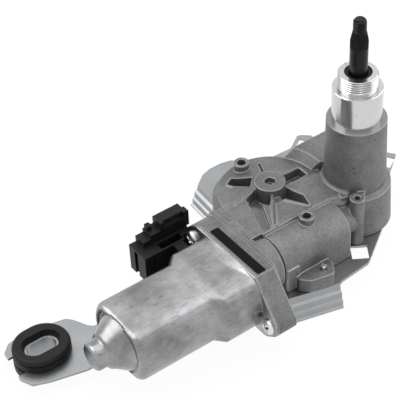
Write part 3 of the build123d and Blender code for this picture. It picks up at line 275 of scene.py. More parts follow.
def ring_skin(name, grid, crease_degrees=30.0):
    """A closed ring: the grid's rows and columns both meet themselves."""
    rows, columns = grid.shape[:2]
    faces = grid_quads(rows, columns, True)
    return link_skin(name, grid.reshape(-1, 3), faces.tolist(), crease_degrees)


def poled_skin(name, grid, first_pole, last_pole, crease_degrees=30.0):
    """A closed body: rings from the first pole to the last, each end a fan of triangles."""
    rows, columns = grid.shape[:2]
    quads = grid_quads(rows, columns, False)
    column = np.arange(columns)
    following = (column + 1) % columns
    first = rows * columns
    low_fan = np.stack([np.full(columns, first), following, column], -1)
    top = (rows - 1) * columns
    high_fan = np.stack([top + column, top + following, np.full(columns, first + 1)], -1)
    vertices = np.vstack([grid.reshape(-1, 3), [first_pole], [last_pole]])
    return link_skin(name, vertices, quads.tolist() + low_fan.tolist() + high_fan.tolist(), crease_degrees)


def round_axis(radius, height, angle):
    """Points about the Z axis: (r cos a, r sin a, h), in metres from millimetres."""
    return np.stack([radius * np.cos(angle), radius * np.sin(angle), height + 0.0 * angle], -1) * mm


def densify(corners, step):
    """Rows along a profile's corners (radius, height), no further apart than step."""
    parts = []
    for (r0, h0), (r1, h1) in zip(corners, corners[1:]):
        count = max(1, math.ceil(math.hypot(r1 - r0, h1 - h0) / step))
        share = np.arange(count) / count
        parts.append(np.stack([r0 + (r1 - r0) * share, h0 + (h1 - h0) * share], -1))
    parts.append(np.array([corners[-1]], float))
    return np.vstack(parts)


def thread_depth(height, angle, pitch, depth):
    """Depth of a V thread: a triangle wave of height / pitch less the turn, with a flattened crest."""
    phase = (height / pitch - angle / (2 * math.pi)) % 1.0
    wave = 1.0 - np.abs(2.0 * phase - 1.0)
    return depth * np.clip((1.0 + crest_flat) * wave - crest_flat, 0.0, 1.0)


def mark_roots(piece, share):
    """Store how deep each point lies in a thread or spline, 0 to 1, so that a finish can paint shade into the
    roots.
    """
    values = np.zeros(len(piece.data.vertices), np.float32)
    values[:share.size] = share.ravel()
    attribute = piece.data.attributes.new("root", "FLOAT", "POINT")
    attribute.data.foreach_set("value", values)


def fade(value, low, high):
    """0 below low, 1 above high, a smooth curve between."""
    share = np.clip((value - low) / (high - low), 0.0, 1.0)
    return share * share * (3.0 - 2.0 * share)


# %% [markdown]
# ## The output shaft
#
# The wiper arm sits on a splined taper under a fine thread. Splines are small ridges along the axis:
# the radius is lowered by a cosine of the turn, only between two heights. The thread lowers it by a
# triangle wave that climbs one pitch per turn. The other lines of the shaft are the solid's own.

# %% Output shaft with its splines and thread
shaft_radius = 5.4
shaft_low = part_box("output_shaft")[0].z / mm
shaft_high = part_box("output_shaft")[1].z / mm
thread_top = shaft_high - 1.2
thread_foot = shaft_high - 8.6
cone_foot = thread_foot - 6.0
groove_low = 4.9
groove_high = 5.9
groove_radius = 4.8
thread_radius = 3.97
spline_foot = cone_foot - 4.9
spline_count = 40
spline_depth = 0.26
shaft_columns = 240
shaft_pitch = 1.25
shaft_thread_depth = 0.62


def make_output_shaft():
    """The shaft's profile turned about Z, less the spline and thread depths at each height and turn."""
    plain = densify([(shaft_radius - 0.6, shaft_low), (shaft_radius, shaft_low + 0.6),
                     (shaft_radius, groove_low), (groove_radius, groove_low + 0.02),
                     (groove_radius, groove_high - 0.02), (shaft_radius, groove_high),
                     (shaft_radius, cone_foot - 5.0)], 30.0)
    splined = densify([(shaft_radius, spline_foot), (shaft_radius, cone_foot),
                       (thread_radius + 0.25, thread_foot)], 0.5)
    threaded = densify([(thread_radius, thread_foot + 0.02), (thread_radius, thread_top),
                        (thread_radius - 1.2, shaft_high)], 0.1)
    rows = np.vstack([plain, splined, threaded])
    angle = np.linspace(0.0, 2 * math.pi, shaft_columns, endpoint=False)[None, :]
    radius = rows[:, :1]
    height = rows[:, 1:]
    spline_share = fade(height, spline_foot, spline_foot + 1.0)
    spline_share = spline_share * (1 - fade(height, thread_foot - 0.4, thread_foot))
    ridges = spline_depth * (0.5 - 0.5 * np.cos(spline_count * angle)) * spline_share
    thread_share = fade(height, thread_foot + 0.4, thread_foot + 0.9)
    thread_share = thread_share * (1 - fade(height, shaft_high - 0.6, shaft_high))
    grooves = thread_depth(height, angle, shaft_pitch, shaft_thread_depth) * thread_share
    grid = round_axis(radius - ridges - grooves, height, angle)
    piece = poled_skin("splined_shaft", grid, (0, 0, shaft_low * mm), (0, 0, shaft_high * mm), 40.0)
    mark_roots(piece, ridges / spline_depth + grooves / shaft_thread_depth)
    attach(piece, "output")
    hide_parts("output_shaft")
    print("shaft rows:", len(rows), "columns:", shaft_columns)
    return piece


# %% [markdown]
# ## The spindle sleeve
#
# The sleeve is one bright turning: a smooth body, a shoulder and a threaded nose with a relief groove
# at its foot. Its profile closes on itself round the wall, so the skin is a ring in both directions.

# %% Spindle sleeve with its thread
sleeve_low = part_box("spindle_sleeve")[0].z / mm
sleeve_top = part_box("spindle_sleeve")[1].z / mm
sleeve_columns = 160
sleeve_bore = 7.65
seal_bore = 8.3
seat_top = sleeve_top - 6.4
spigot_radius = 12.6
body_foot = -23.0
body_radius = 15.2
nose_radius = 12.1
relief_radius = 11.1
sleeve_pitch = 1.5
sleeve_thread_depth = 0.8


def make_spindle_sleeve():
    """The wall's profile turned about Z, its nose lowered by the thread's depth."""
    corners = [(sleeve_bore, sleeve_low), (spigot_radius, sleeve_low), (spigot_radius, body_foot),
               (body_radius, body_foot), (body_radius, -0.3), (body_radius - 0.3, 0.0), (11.5, 0.0),
               (relief_radius, 0.25), (relief_radius, 1.2), (nose_radius, 1.9)]
    nose = densify([(nose_radius, 2.0), (nose_radius, sleeve_top - 0.7),
                    (nose_radius - 0.7, sleeve_top)], 0.15)
    inside = [(seal_bore, sleeve_top), (seal_bore, seat_top), (sleeve_bore, seat_top)]
    rows = np.vstack([corners, nose, inside])
    angle = np.linspace(0.0, 2 * math.pi, sleeve_columns, endpoint=False)[None, :]
    radius = rows[:, :1]
    height = rows[:, 1:]
    outside = (radius > 11.3) * fade(height, 2.2, 2.8) * (1 - fade(height, sleeve_top - 0.5, sleeve_top))
    grooves = thread_depth(height, angle, sleeve_pitch, sleeve_thread_depth) * outside
    piece = ring_skin("threaded_sleeve", round_axis(radius - grooves, height, angle), 30.0)
    mark_roots(piece, grooves / sleeve_thread_depth)
    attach(piece, "base")
    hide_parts("spindle_sleeve")
    print("sleeve rows:", len(rows), "columns:", sleeve_columns)
    return piece


# %% [markdown]
# ## Screws
#
# All six screws have pan heads with a cross recess, which catches the light. The head is a flattened
# dome, height = side + rise x sqrt(1 - (r / R)^3), less the recess: two crossed bars with sloped walls.
# The place, the length and the head's radius are read from the box of the node that each screw stands
# for.

# %% Pan head screws
screw_columns = 96
shank_radius = 2.15
head_height = 2.8
side_height = 0.9
recess_half_width = 0.7
recess_half_length = 3.1
recess_deepest = 1.7
recess_wall_slope = 0.14
recess_end_slope = 0.7


def recess_depth(across_u, across_v, half_width, half_length, depth):
    """Two crossed bars: each is 1 inside its width and length, with short slopes; the deeper one wins."""
    def bar(along, aside):
        width_share = np.clip((half_width - np.abs(aside)) / recess_wall_slope + 0.5, 0.0, 1.0)
        return width_share * np.clip((half_length - np.abs(along)) / recess_end_slope, 0.0, 1.0)
    return depth * np.maximum(bar(across_u, across_v), bar(across_v, across_u))


def make_screw(node, axis, turn_degrees):
    """A screw whose head points along axis (a row of the unit matrix, with its sign)."""
    low, high = (np.array(corner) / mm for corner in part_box(node))
    axis = np.array(axis, float)
    along = int(np.argmax(np.abs(axis)))
    middle = (low + high) / 2
    across = [i for i in range(3) if i != along]
    head_radius = (high - low)[across[0]] / 2
    ends = (low[along], high[along])
    top = ends[1] if axis[along] > 0 else ends[0]
    tip = ends[0] if axis[along] > 0 else ends[1]
    length = abs(top - tip)
    rise = head_height - side_height
    shank_end = length - head_height
    rim = np.linspace(math.pi / 2, math.asin(3.7 / head_radius), 7)
    dome_radius = np.concatenate([head_radius * np.sin(rim), np.linspace(3.55, 0.12, 26)])
    dome_height = shank_end + side_height + rise * np.sqrt(1 - np.clip(dome_radius / head_radius, 0, 1) ** 3)
    shank = [shank_radius - 0.5, shank_radius, shank_radius, head_radius]
    radii = np.concatenate([shank, dome_radius])[:, None]
    heights = np.concatenate([[0.0, 0.6, shank_end, shank_end], dome_height])[:, None]
    angle = np.linspace(0.0, 2 * math.pi, screw_columns, endpoint=False)[None, :]
    turn = math.radians(turn_degrees)
    recess = recess_depth(radii * np.cos(angle + turn), radii * np.sin(angle + turn),
                          recess_half_width, recess_half_length, recess_deepest)
    heights = heights - recess * (heights > shank_end + side_height)
    side_u = np.roll(np.abs(axis), 1)
    side_v = np.cross(axis, side_u)
    start = middle.copy()
    start[along] = tip
    spread = radii[..., None] * (np.cos(angle)[..., None] * side_u + np.sin(angle)[..., None] * side_v)
    grid = (start + spread + heights[..., None] * axis) * mm
    last = (start + (length - recess_deepest) * axis) * mm
    piece = poled_skin(node + "_pan_head", grid, start * mm, last, 35.0)
    mark_roots(piece, recess / recess_deepest * (radii < recess_half_length + 0.2))
    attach(piece, "base")
    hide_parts(node)
    return piece


# %% [markdown]
# ## The drawn motor can
#
# The can is one deep drawing, so every corner in it is soft: a nose, a spun cone, a rounded end, a
# waist where the narrow part steps out to the wide one, and a flare at the flange. Its section is a
# circle cut by two flats, r = ((1/R)^p + (|sin a|/H)^p)^(-1/p): with a high power p the smaller of the
# two wins and the corner between them is rounded. R and H then change along the axis, as a table of
# stations with smooth curves between. The same rows set in by the sheet's thickness close the inside.

# %% Motor can as one skin
can_axis = (-14.5, -82.5)
flange_x = -106.0
sheet = 1.5
can_columns = 192
corner_power = 13.0
wide_radius = 30.4
narrow_radius = 25.3
flat_half = 18.5
narrow_half = 18.0
nose_x = -205.2
nose_flat = 6.4
nose_round = 2.3
can_nose_radius = nose_flat + nose_round
cone_x = -195.4
cone_length = 8.3
cone_radius = 11.7
cone_widening = 5.7
rim_x = -186.8
rim_round = 4.0
rim_flat_round = 2.5
narrow_x = rim_x + rim_round + 0.8
narrow_end_x = -137.0
waist_x = -136.0
waist_length = 6.6
wide_x = -127.0
wide_end_x = -114.0
flare_x = -113.5
flare_length = 7.5
flare_widening = 1.3
flare_lift = 1.7
flare_least = 1.6
flare_spread = 5.4
flat_edge = 0.72


def cut_circle(radius, half_height, angle, power=corner_power):
    """Distance from the axis to a circle with two flats, in the direction of the angle."""
    return ((1.0 / radius) ** power + (np.abs(np.sin(angle)) / half_height) ** power) ** (-1.0 / power)


def quarter_turn(count):
    """Angles from 0 to a right angle, both ends in."""
    return np.linspace(0.0, math.pi / 2, count)


def can_rows():
    """Rows of (x, R, H) from the nose to the flange: flat nose, cone, rounded end, waist, wide part."""
    free = 60.0  # a flat so far out that it cuts nothing off
    turn = quarter_turn(8)
    nose = [(nose_x, radius, free) for radius in (0.6, 3.0, 5.6, nose_flat)]
    edge = [(nose_x + nose_round * (1 - math.cos(t)), nose_flat + nose_round * math.sin(t), free)
            for t in turn[1:]]
    side = [(-201.5, can_nose_radius, free), (-199.3, can_nose_radius, free), (-198.4, 8.8, free),
            (-197.8, 9.2, free), (-197.4, 9.9, free), (-197.0, 10.7, free), (-196.3, 11.3, free),
            (cone_x, cone_radius, free)]
    share = np.linspace(0.1, 1.0, 10)
    cone = [(cone_x + cone_length * t, cone_radius + cone_widening * t ** 1.1, free) for t in share]
    groove = [(-186.4, 17.7, 34.0), (-185.9, 18.0, 26.0), (-185.9, 18.4, 21.0), (-186.4, 18.8, 17.4),
              (rim_x, 19.3, 16.5)]
    turn = quarter_turn(12)
    rim_start = narrow_radius - rim_round
    flat_start = narrow_half - rim_flat_round
    end = [(rim_x + rim_round * (1 - math.cos(t)), rim_start + rim_round * math.sin(t),
            flat_start + rim_flat_round * math.sin(t)) for t in turn]
    narrow = [(x, narrow_radius, narrow_half) for x in np.linspace(narrow_x, narrow_end_x, 12)]
    steps = np.linspace(0.0, 1.0, 22)
    steps_out = 0.35 * fade(steps, 0.0, 1.0) + 0.65 * np.clip(1.1 * steps - 0.05, 0.0, 1.0)
    waist = [(waist_x + waist_length * t, narrow_radius + (wide_radius - narrow_radius) * out,
              narrow_half + (flat_half - narrow_half) * out) for t, out in zip(steps, steps_out)]
    wide = [(x, wide_radius, flat_half) for x in np.linspace(wide_x, wide_end_x, 5)]
    flare = [(flare_x + flare_length * t, wide_radius + flare_widening * t ** 5, flat_half)
             for t in np.linspace(0.0, 1.0, 18)]
    return np.array(nose + edge + side + cone + groove + end + narrow + waist + wide + flare, float)


def make_can():
    """The rows turned about the motor's axis, with a crescent flare in the flats before the flange."""
    rows = can_rows()
    angle = np.linspace(0.0, 2 * math.pi, can_columns, endpoint=False)[None, :]
    outer_x, outer_radius, outer_half = (rows[:, i:i + 1] for i in range(3))
    width = flare_least + flare_spread * np.clip(1.0 - (np.cos(angle) / flat_edge) ** 2, 0.0, 1.0)
    lift = flare_lift * np.clip((outer_x - flange_x + width) / width, 0.0, 1.0) ** 1.1
    outer = cut_circle(outer_radius, outer_half + lift, angle)
    inner_rows = rows[::-6]
    inner_x = np.minimum(inner_rows[:, :1] + sheet, flange_x)
    inner = np.maximum(cut_circle(inner_rows[:, 1:2], inner_rows[:, 2:], angle) - sheet, 0.3)
    x = np.vstack([outer_x + 0 * angle, inner_x + 0 * angle])
    reach = np.vstack([outer, inner])
    grid = np.stack([x, can_axis[0] + reach * np.cos(angle), can_axis[1] + reach * np.sin(angle)], -1) * mm
    first = np.array([nose_x, *can_axis]) * mm
    last = np.array([nose_x + sheet, *can_axis]) * mm
    piece = poled_skin("drawn_can", grid, first, last, 50.0)
    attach(piece, "base")
    print("can rows:", len(rows))
    return piece


def hull_reach(discs, angle):
    """Distance from the centre to the hull of discs (y, z, r): the least support / cos over all normals."""
    normal = np.linspace(0.0, 2 * math.pi, 1441)[None, :]
    support = np.max([y * np.cos(normal) + z * np.sin(normal) + r for y, z, r in discs], axis=0)
    facing = np.cos(angle[:, None] - normal)
    return np.min(np.where(facing > 0.05, support / np.maximum(facing, 0.05), np.inf), axis=1)


def make_can_flange():
    """The can's turned-out plate: the hull of the cut circle and two ears, its rims a little rounded."""
    discs = [(36.3, 8.5, 7.2), (-36.3, -8.5, 7.2), (31.5, 15.4, 4.5), (-31.5, -15.4, 4.5),
             (23.2, 19.9, 0.0), (-23.2, 19.9, 0.0), (23.2, -19.9, 0.0), (-23.2, -19.9, 0.0),
             (29.6, -7.0, 0.2), (-29.6, 7.0, 0.2), (30.6, 0.0, 0.0), (-30.6, 0.0, 0.0)]
    angle = np.linspace(0.0, 2 * math.pi, 256, endpoint=False)
    outline = hull_reach(discs, angle)
    bore = cut_circle(wide_radius - 0.6, flat_half - 0.2, angle)
    steps = [(bore, 0.0), (bore, -sheet), (outline - 0.5, -sheet), (outline - 0.15, -sheet + 0.15),
             (outline, -sheet + 0.5), (outline, -0.5), (outline - 0.15, -0.15), (outline - 0.5, 0.0)]
    reach = np.array([radius for radius, _ in steps])
    x = np.array([flange_x + offset for _, offset in steps])[:, None] + 0 * reach
    grid = np.stack([x, can_axis[0] + reach * np.cos(angle), can_axis[1] + reach * np.sin(angle)], -1) * mm
    piece = ring_skin("can_flange_plate", grid, 40.0)
    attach(piece, "base")
    return piece


# %% [markdown]
# ## Marks that several metals share
#
# Each effect is a node group with named inputs, built once. Cast grain is fine noise for the skin that
# a die leaves, with larger clouds and a few dark nicks. Streaks are noise stretched along one
# direction, as drawing or brushing leaves. Turning lines are rings of slightly different height along
# an axis. The edge mask compares the true normal with a rounded one: it is 1 on corners and 0 on
# flats, and the cast metal uses it for a painted highlight on its corners.

# %% Shared shader node groups
def group_frame(name, inputs, outputs):
    """An empty shader node group with its inputs and outputs named with their types."""
    group = bpy.data.node_groups.new(name, "ShaderNodeTree")
    for label, kind, value in inputs:
        socket = group.interface.new_socket(name=label, in_out="INPUT", socket_type=kind)
        if value is not None:
            socket.default_value = value
    for label, kind in outputs:
        group.interface.new_socket(name=label, in_out="OUTPUT", socket_type=kind)
    source = group.nodes.new("NodeGroupInput")
    sink = group.nodes.new("NodeGroupOutput")
    return group, source, sink


def noise_node(tree, scale_value, detail, roughness=0.55):
    """A 3-D noise texture with its plain numbers set."""
    noise = tree.nodes.new("ShaderNodeTexNoise")
    noise.inputs["Scale"].default_value = scale_value
    noise.inputs["Detail"].default_value = detail
    noise.inputs["Roughness"].default_value = roughness
    return noise


def remap_node(tree, low, high, to_low, to_high):
    """A clamped linear map from low..high to to_low..to_high."""
    remap = tree.nodes.new("ShaderNodeMapRange")
    remap.inputs["From Min"].default_value = low
    remap.inputs["From Max"].default_value = high
    remap.inputs["To Min"].default_value = to_low
    remap.inputs["To Max"].default_value = to_high
    return remap


def math_node(tree, operation, first, second):
    """A Math node; each input is a socket to link or a plain number."""
    node = tree.nodes.new("ShaderNodeMath")
    node.operation = operation
    for index, value in enumerate((first, second)):
        if isinstance(value, (int, float)):
            node.inputs[index].default_value = value
        elif value is not None:
            tree.links.new(value, node.inputs[index])
    return node.outputs[0]


def stretched(tree, position, stretch):
    """The position scaled along each axis, so noise read there is drawn out where the number is small."""
    mapping = tree.nodes.new("ShaderNodeMapping")
    mapping.inputs["Scale"].default_value = stretch
    tree.links.new(position, mapping.inputs["Vector"])
    return mapping.outputs["Vector"]


def make_cast_skin():
    """Tone, roughness and height of a die-cast skin: clouds, fine grain and a few dark nicks."""
    group, source, sink = group_frame(
        "cast_skin",
        [("Position", "NodeSocketVector", None)],
        [("Tone", "NodeSocketFloat"), ("Roughness", "NodeSocketFloat"), ("Height", "NodeSocketFloat")],
    )
    clouds = noise_node(group, 45.0, 6.0, 0.65)
    grain = noise_node(group, 650.0, 3.0, 0.7)
    nicks = noise_node(group, 420.0, 1.0, 0.4)
    for texture in (clouds, grain, nicks):
        group.links.new(source.outputs["Position"], texture.inputs["Vector"])
    slow = remap_node(group, 0.32, 0.68, 0.72, 1.22)
    fine = remap_node(group, 0.25, 0.75, 0.72, 1.22)
    nick = remap_node(group, 0.73, 0.79, 1.0, 0.5)
    group.links.new(clouds.outputs["Fac"], slow.inputs["Value"])
    group.links.new(grain.outputs["Fac"], fine.inputs["Value"])
    group.links.new(nicks.outputs["Fac"], nick.inputs["Value"])
    both = math_node(group, "MULTIPLY", slow.outputs["Result"], fine.outputs["Result"])
    group.links.new(math_node(group, "MULTIPLY", both, nick.outputs["Result"]), sink.inputs["Tone"])
    rough = remap_node(group, 0.3, 0.7, 0.44, 0.58)
    group.links.new(clouds.outputs["Fac"], rough.inputs["Value"])
    group.links.new(rough.outputs["Result"], sink.inputs["Roughness"])
    group.links.new(grain.outputs["Fac"], sink.inputs["Height"])
    return group


def make_streaks():
    """Tone and height of a drawn surface: a long fine grain, broken dark dashes and slow clouds."""
    group, source, sink = group_frame(
        "drawn_streaks",
        [("Position", "NodeSocketVector", None), ("Dash depth", "NodeSocketFloat", 0.4)],
        [("Tone", "NodeSocketFloat"), ("Height", "NodeSocketFloat")],
    )
    grain = noise_node(group, 1.0, 4.0, 0.6)
    dashes = noise_node(group, 1.0, 2.0, 0.5)
    clouds = noise_node(group, 38.0, 5.0, 0.65)
    position = source.outputs["Position"]
    group.links.new(stretched(group, position, (110.0, 2400.0, 2400.0)), grain.inputs["Vector"])
    group.links.new(stretched(group, position, (170.0, 1500.0, 1500.0)), dashes.inputs["Vector"])
    group.links.new(position, clouds.inputs["Vector"])
    fine = remap_node(group, 0.28, 0.72, 0.80, 1.16)
    slow = remap_node(group, 0.34, 0.66, 0.62, 1.2)
    mark = remap_node(group, 0.62, 0.72, 0.0, 1.0)
    group.links.new(grain.outputs["Fac"], fine.inputs["Value"])
    group.links.new(clouds.outputs["Fac"], slow.inputs["Value"])
    group.links.new(dashes.outputs["Fac"], mark.inputs["Value"])
    shade = math_node(group, "MULTIPLY", mark.outputs["Result"], source.outputs["Dash depth"])
    kept = math_node(group, "SUBTRACT", 1.0, shade)
    both = math_node(group, "MULTIPLY", fine.outputs["Result"], slow.outputs["Result"])
    group.links.new(math_node(group, "MULTIPLY", both, kept), sink.inputs["Tone"])
    group.links.new(grain.outputs["Fac"], sink.inputs["Height"])
    return group


def make_turning_lines():
    """Tone and height of fine rings along Z, with sparse scratches."""
    group, source, sink = group_frame(
        "turning_lines",
        [("Position", "NodeSocketVector", None)],
        [("Tone", "NodeSocketFloat"), ("Height", "NodeSocketFloat")],
    )
    rings = noise_node(group, 1.0, 3.0, 0.7)
    specks = noise_node(group, 420.0, 2.0, 0.5)
    position = source.outputs["Position"]
    group.links.new(stretched(group, position, (25.0, 25.0, 2600.0)), rings.inputs["Vector"])
    group.links.new(position, specks.inputs["Vector"])
    fine = remap_node(group, 0.3, 0.7, 0.93, 1.05)
    mark = remap_node(group, 0.68, 0.74, 1.0, 0.6)
    group.links.new(rings.outputs["Fac"], fine.inputs["Value"])
    group.links.new(specks.outputs["Fac"], mark.inputs["Value"])
    both = math_node(group, "MULTIPLY", fine.outputs["Result"], mark.outputs["Result"])
    group.links.new(both, sink.inputs["Tone"])
    group.links.new(rings.outputs["Fac"], sink.inputs["Height"])
    return group


def make_painted_edge_highlight():
    """1 on corners, 0 on flats, the mask of a painted highlight: one less the dot product of the true and
    rounded normals.
    """
    group, source, sink = group_frame(
        "painted_edge_highlight",
        [("Rounded normal", "NodeSocketVector", None), ("Gain", "NodeSocketFloat", 4.0)],
        [("Edge", "NodeSocketFloat")],
    )
    surface = group.nodes.new("ShaderNodeNewGeometry")
    dot = group.nodes.new("ShaderNodeVectorMath")
    dot.operation = "DOT_PRODUCT"
    group.links.new(surface.outputs["Normal"], dot.inputs[0])
    group.links.new(source.outputs["Rounded normal"], dot.inputs[1])
    apart = math_node(group, "SUBTRACT", 1.0, dot.outputs["Value"])
    gained = math_node(group, "MULTIPLY", apart, source.outputs["Gain"])
    group.links.new(math_node(group, "MINIMUM", gained, 1.0), sink.inputs["Edge"])
    return group


def make_disc_mask():
    """1 inside a flat disc: within a radius of the centre in plan, and above a level."""
    group, source, sink = group_frame(
        "disc_mask",
        [("Position", "NodeSocketVector", None), ("Centre", "NodeSocketVector", None),
         ("Radius", "NodeSocketFloat", 0.01)],
        [("Mask", "NodeSocketFloat")],
    )
    away = group.nodes.new("ShaderNodeVectorMath")
    away.operation = "SUBTRACT"
    group.links.new(source.outputs["Position"], away.inputs[0])
    group.links.new(source.outputs["Centre"], away.inputs[1])
    split = group.nodes.new("ShaderNodeSeparateXYZ")
    group.links.new(away.outputs["Vector"], split.inputs[0])
    across = math_node(group, "MULTIPLY", split.outputs["X"], split.outputs["X"])
    aside = math_node(group, "MULTIPLY", split.outputs["Y"], split.outputs["Y"])
    reach = math_node(group, "SQRT", math_node(group, "ADD", across, aside), None)
    inside = math_node(group, "LESS_THAN", reach, source.outputs["Radius"])
    above = math_node(group, "GREATER_THAN", split.outputs["Z"], 0.0)
    group.links.new(math_node(group, "MULTIPLY", inside, above), sink.inputs["Mask"])
    return group


cast_skin = make_cast_skin()
drawn_streaks = make_streaks()
turning_lines = make_turning_lines()
painted_edge_highlight = make_painted_edge_highlight()
disc_mask = make_disc_mask()
print("groups:", [g.name for g in bpy.data.node_groups])

# %% [markdown]
# ## Finishes
#
# One function builds a plain shader and small helpers add to it: a tint multiplies the colour by a
# tone, a bump lays a height on a rounded normal. The plain numbers stay on the shader itself.

# %% Helpers for materials
# painted shade: root_shade is the share of the colour left in thread roots and recesses
root_shade = 0.2


def principled(name, color, metallic, roughness):
    """A material with one Principled shader, its plain numbers set on its own sockets."""
    material, tree, output = new_material(name)
    shader = tree.nodes.new("ShaderNodeBsdfPrincipled")
    shader.inputs["Base Color"].default_value = (*color, 1)
    shader.inputs["Metallic"].default_value = metallic
    shader.inputs["Roughness"].default_value = roughness
    tree.links.new(shader.outputs[0], output.inputs["Surface"])
    return material, tree, shader


def place_group(tree, group, position=None, **numbers):
    """A group node, given the object's coordinates and the numbers named."""
    node = tree.nodes.new("ShaderNodeGroup")
    node.node_tree = group
    if position is not None:
        tree.links.new(position, node.inputs["Position"])
    for label, value in numbers.items():
        node.inputs[label.replace("_", " ")].default_value = value
    return node


def object_position(tree):
    """The Object coordinates output."""
    place = tree.nodes.new("ShaderNodeTexCoord")
    return place.outputs["Object"]


def tint(tree, color, factor_socket):
    """color times a factor, as a colour output."""
    mix = tree.nodes.new("ShaderNodeMix")
    mix.data_type = "RGBA"
    mix.blend_type = "MULTIPLY"
    mix.inputs["Factor"].default_value = 1.0
    mix.inputs["A"].default_value = (*color, 1)
    tree.links.new(factor_socket, mix.inputs["B"])
    return mix.outputs["Result"]


def blend_color(tree, mask, first, second):
    """first where the mask is 0, second where it is 1; each is a socket or a colour."""
    mix = tree.nodes.new("ShaderNodeMix")
    mix.data_type = "RGBA"
    tree.links.new(mask, mix.inputs["Factor"])
    for label, value in (("A", first), ("B", second)):
        if isinstance(value, tuple):
            mix.inputs[label].default_value = (*value, 1)
        else:
            tree.links.new(value, mix.inputs[label])
    return mix.outputs["Result"]


def blend_value(tree, mask, first, second):
    """first + mask x (second - first), for sockets or numbers."""
    mix = tree.nodes.new("ShaderNodeMix")
    mix.data_type = "FLOAT"
    tree.links.new(mask, mix.inputs["Factor"])
    for label, value in (("A", first), ("B", second)):
        if isinstance(value, (int, float)):
            mix.inputs[label].default_value = value
        else:
            tree.links.new(value, mix.inputs[label])
    return mix.outputs["Result"]


def paint_root_shade(tree, shader, unshaded, color):
    """The unshaded colour, darkened with painted shade where the mesh's root attribute marks a thread's root
    or a recess.
    """
    root = tree.nodes.new("ShaderNodeAttribute")
    root.attribute_name = "root"
    # painted shade: the colour goes dark where the root attribute is high, in grooves and recesses
    root_shade_color = tuple(value * root_shade for value in color)
    tree.links.new(blend_color(tree, root.outputs["Fac"], unshaded, root_shade_color), shader.inputs["Base Color"])


def rounded_normal(tree, radius):
    """A normal that turns smoothly over corners within the radius."""
    edge = tree.nodes.new("ShaderNodeBevel")
    edge.samples = 6
    edge.inputs["Radius"].default_value = radius
    return edge.outputs["Normal"]


def lay_bump(tree, shader, height, strength, distance, normal=None):
    """A Bump node on the shader's normal."""
    bump = tree.nodes.new("ShaderNodeBump")
    bump.inputs["Strength"].default_value = strength
    bump.inputs["Distance"].default_value = distance
    tree.links.new(height, bump.inputs["Height"])
    if normal is not None:
        tree.links.new(normal, bump.inputs["Normal"])
    tree.links.new(bump.outputs["Normal"], shader.inputs["Normal"])


# %% [markdown]
# ## Cast aluminium
#
# The gearbox is die cast and tumbled: grey, cloudy, with fine grain and small dark nicks, and a painted
# highlight makes its corners pale.
# Only the top of the tower is machined, so a mask in plan and height lays a smoother metal there.

# %% Cast aluminium with a machined top
cast_grey = (0.165, 0.165, 0.167)
# edge_highlight_grey is a painted highlight: the pale grey laid on the casting's corners
edge_highlight_grey = (0.42, 0.42, 0.42)
machined_grey = (0.26, 0.26, 0.26)
machined_roughness = 0.14
tower_top_centre = (0.0, 0.0, -23.06)
tower_top_reach = 19.0


def cast_aluminium():
    """Cast skin, with a painted highlight on its corners and a smooth machined disc on the tower."""
    material, tree, shader = principled("cast_aluminium", cast_grey, 0.6, 0.5)
    position = object_position(tree)
    skin = place_group(tree, cast_skin, position)
    rounded = rounded_normal(tree, 0.0014)
    edge = tree.nodes.new("ShaderNodeGroup")
    edge.node_tree = painted_edge_highlight
    tree.links.new(rounded, edge.inputs["Rounded normal"])
    color = tint(tree, cast_grey, skin.outputs["Tone"])
    # painted highlight: the colour turns pale grey on corners, where light catches them
    color = blend_color(tree, edge.outputs["Edge"], color, edge_highlight_grey)
    spot = place_group(tree, disc_mask, position, Radius=tower_top_reach * mm)
    spot.inputs["Centre"].default_value = tuple(value * mm for value in tower_top_centre)
    color = blend_color(tree, spot.outputs["Mask"], color, machined_grey)
    rough = blend_value(tree, spot.outputs["Mask"], skin.outputs["Roughness"], machined_roughness)
    tree.links.new(color, shader.inputs["Base Color"])
    tree.links.new(rough, shader.inputs["Roughness"])
    lay_bump(tree, shader, skin.outputs["Height"], 0.35, 0.00035, rounded)
    return material


# %% [markdown]
# ## Turned aluminium and blackened steel
#
# A lathe leaves rings too fine to see one by one, but they spread the light up and down. The sleeve is
# bright and clean; the shaft is the same kind of surface under a black oxide.

# %% Turned metals
def turned_metal(name, color, roughness, strength, metallic=1.0):
    """A turned surface: fine rings along Z in tone and bump, with painted shade in the thread's roots."""
    material, tree, shader = principled(name, color, metallic, roughness)
    lines = place_group(tree, turning_lines, object_position(tree))
    # painted shade in the thread's roots
    paint_root_shade(tree, shader, tint(tree, color, lines.outputs["Tone"]), color)
    lay_bump(tree, shader, lines.outputs["Height"], strength, 0.00008)
    return material


# %% [markdown]
# ## Drawn steel and zinc plate
#
# The can is deep drawn from bright sheet: its skin is streaked along the pull, with short dark dashes.
# The bracket and screws are zinc plated after pressing, so they are paler and almost even. Both have
# soft corners, made by the rounded normal.

# %% Drawn and plated steel
def drawn_steel():
    """Streaked along X, with soft corners."""
    color = (0.33, 0.332, 0.338)
    material, tree, shader = principled("drawn_steel", color, 1.0, 0.30)
    marks = place_group(tree, drawn_streaks, object_position(tree), Dash_depth=0.5)
    tree.links.new(tint(tree, color, marks.outputs["Tone"]), shader.inputs["Base Color"])
    lay_bump(tree, shader, marks.outputs["Height"], 0.12, 0.0001, rounded_normal(tree, 0.0012))
    return material


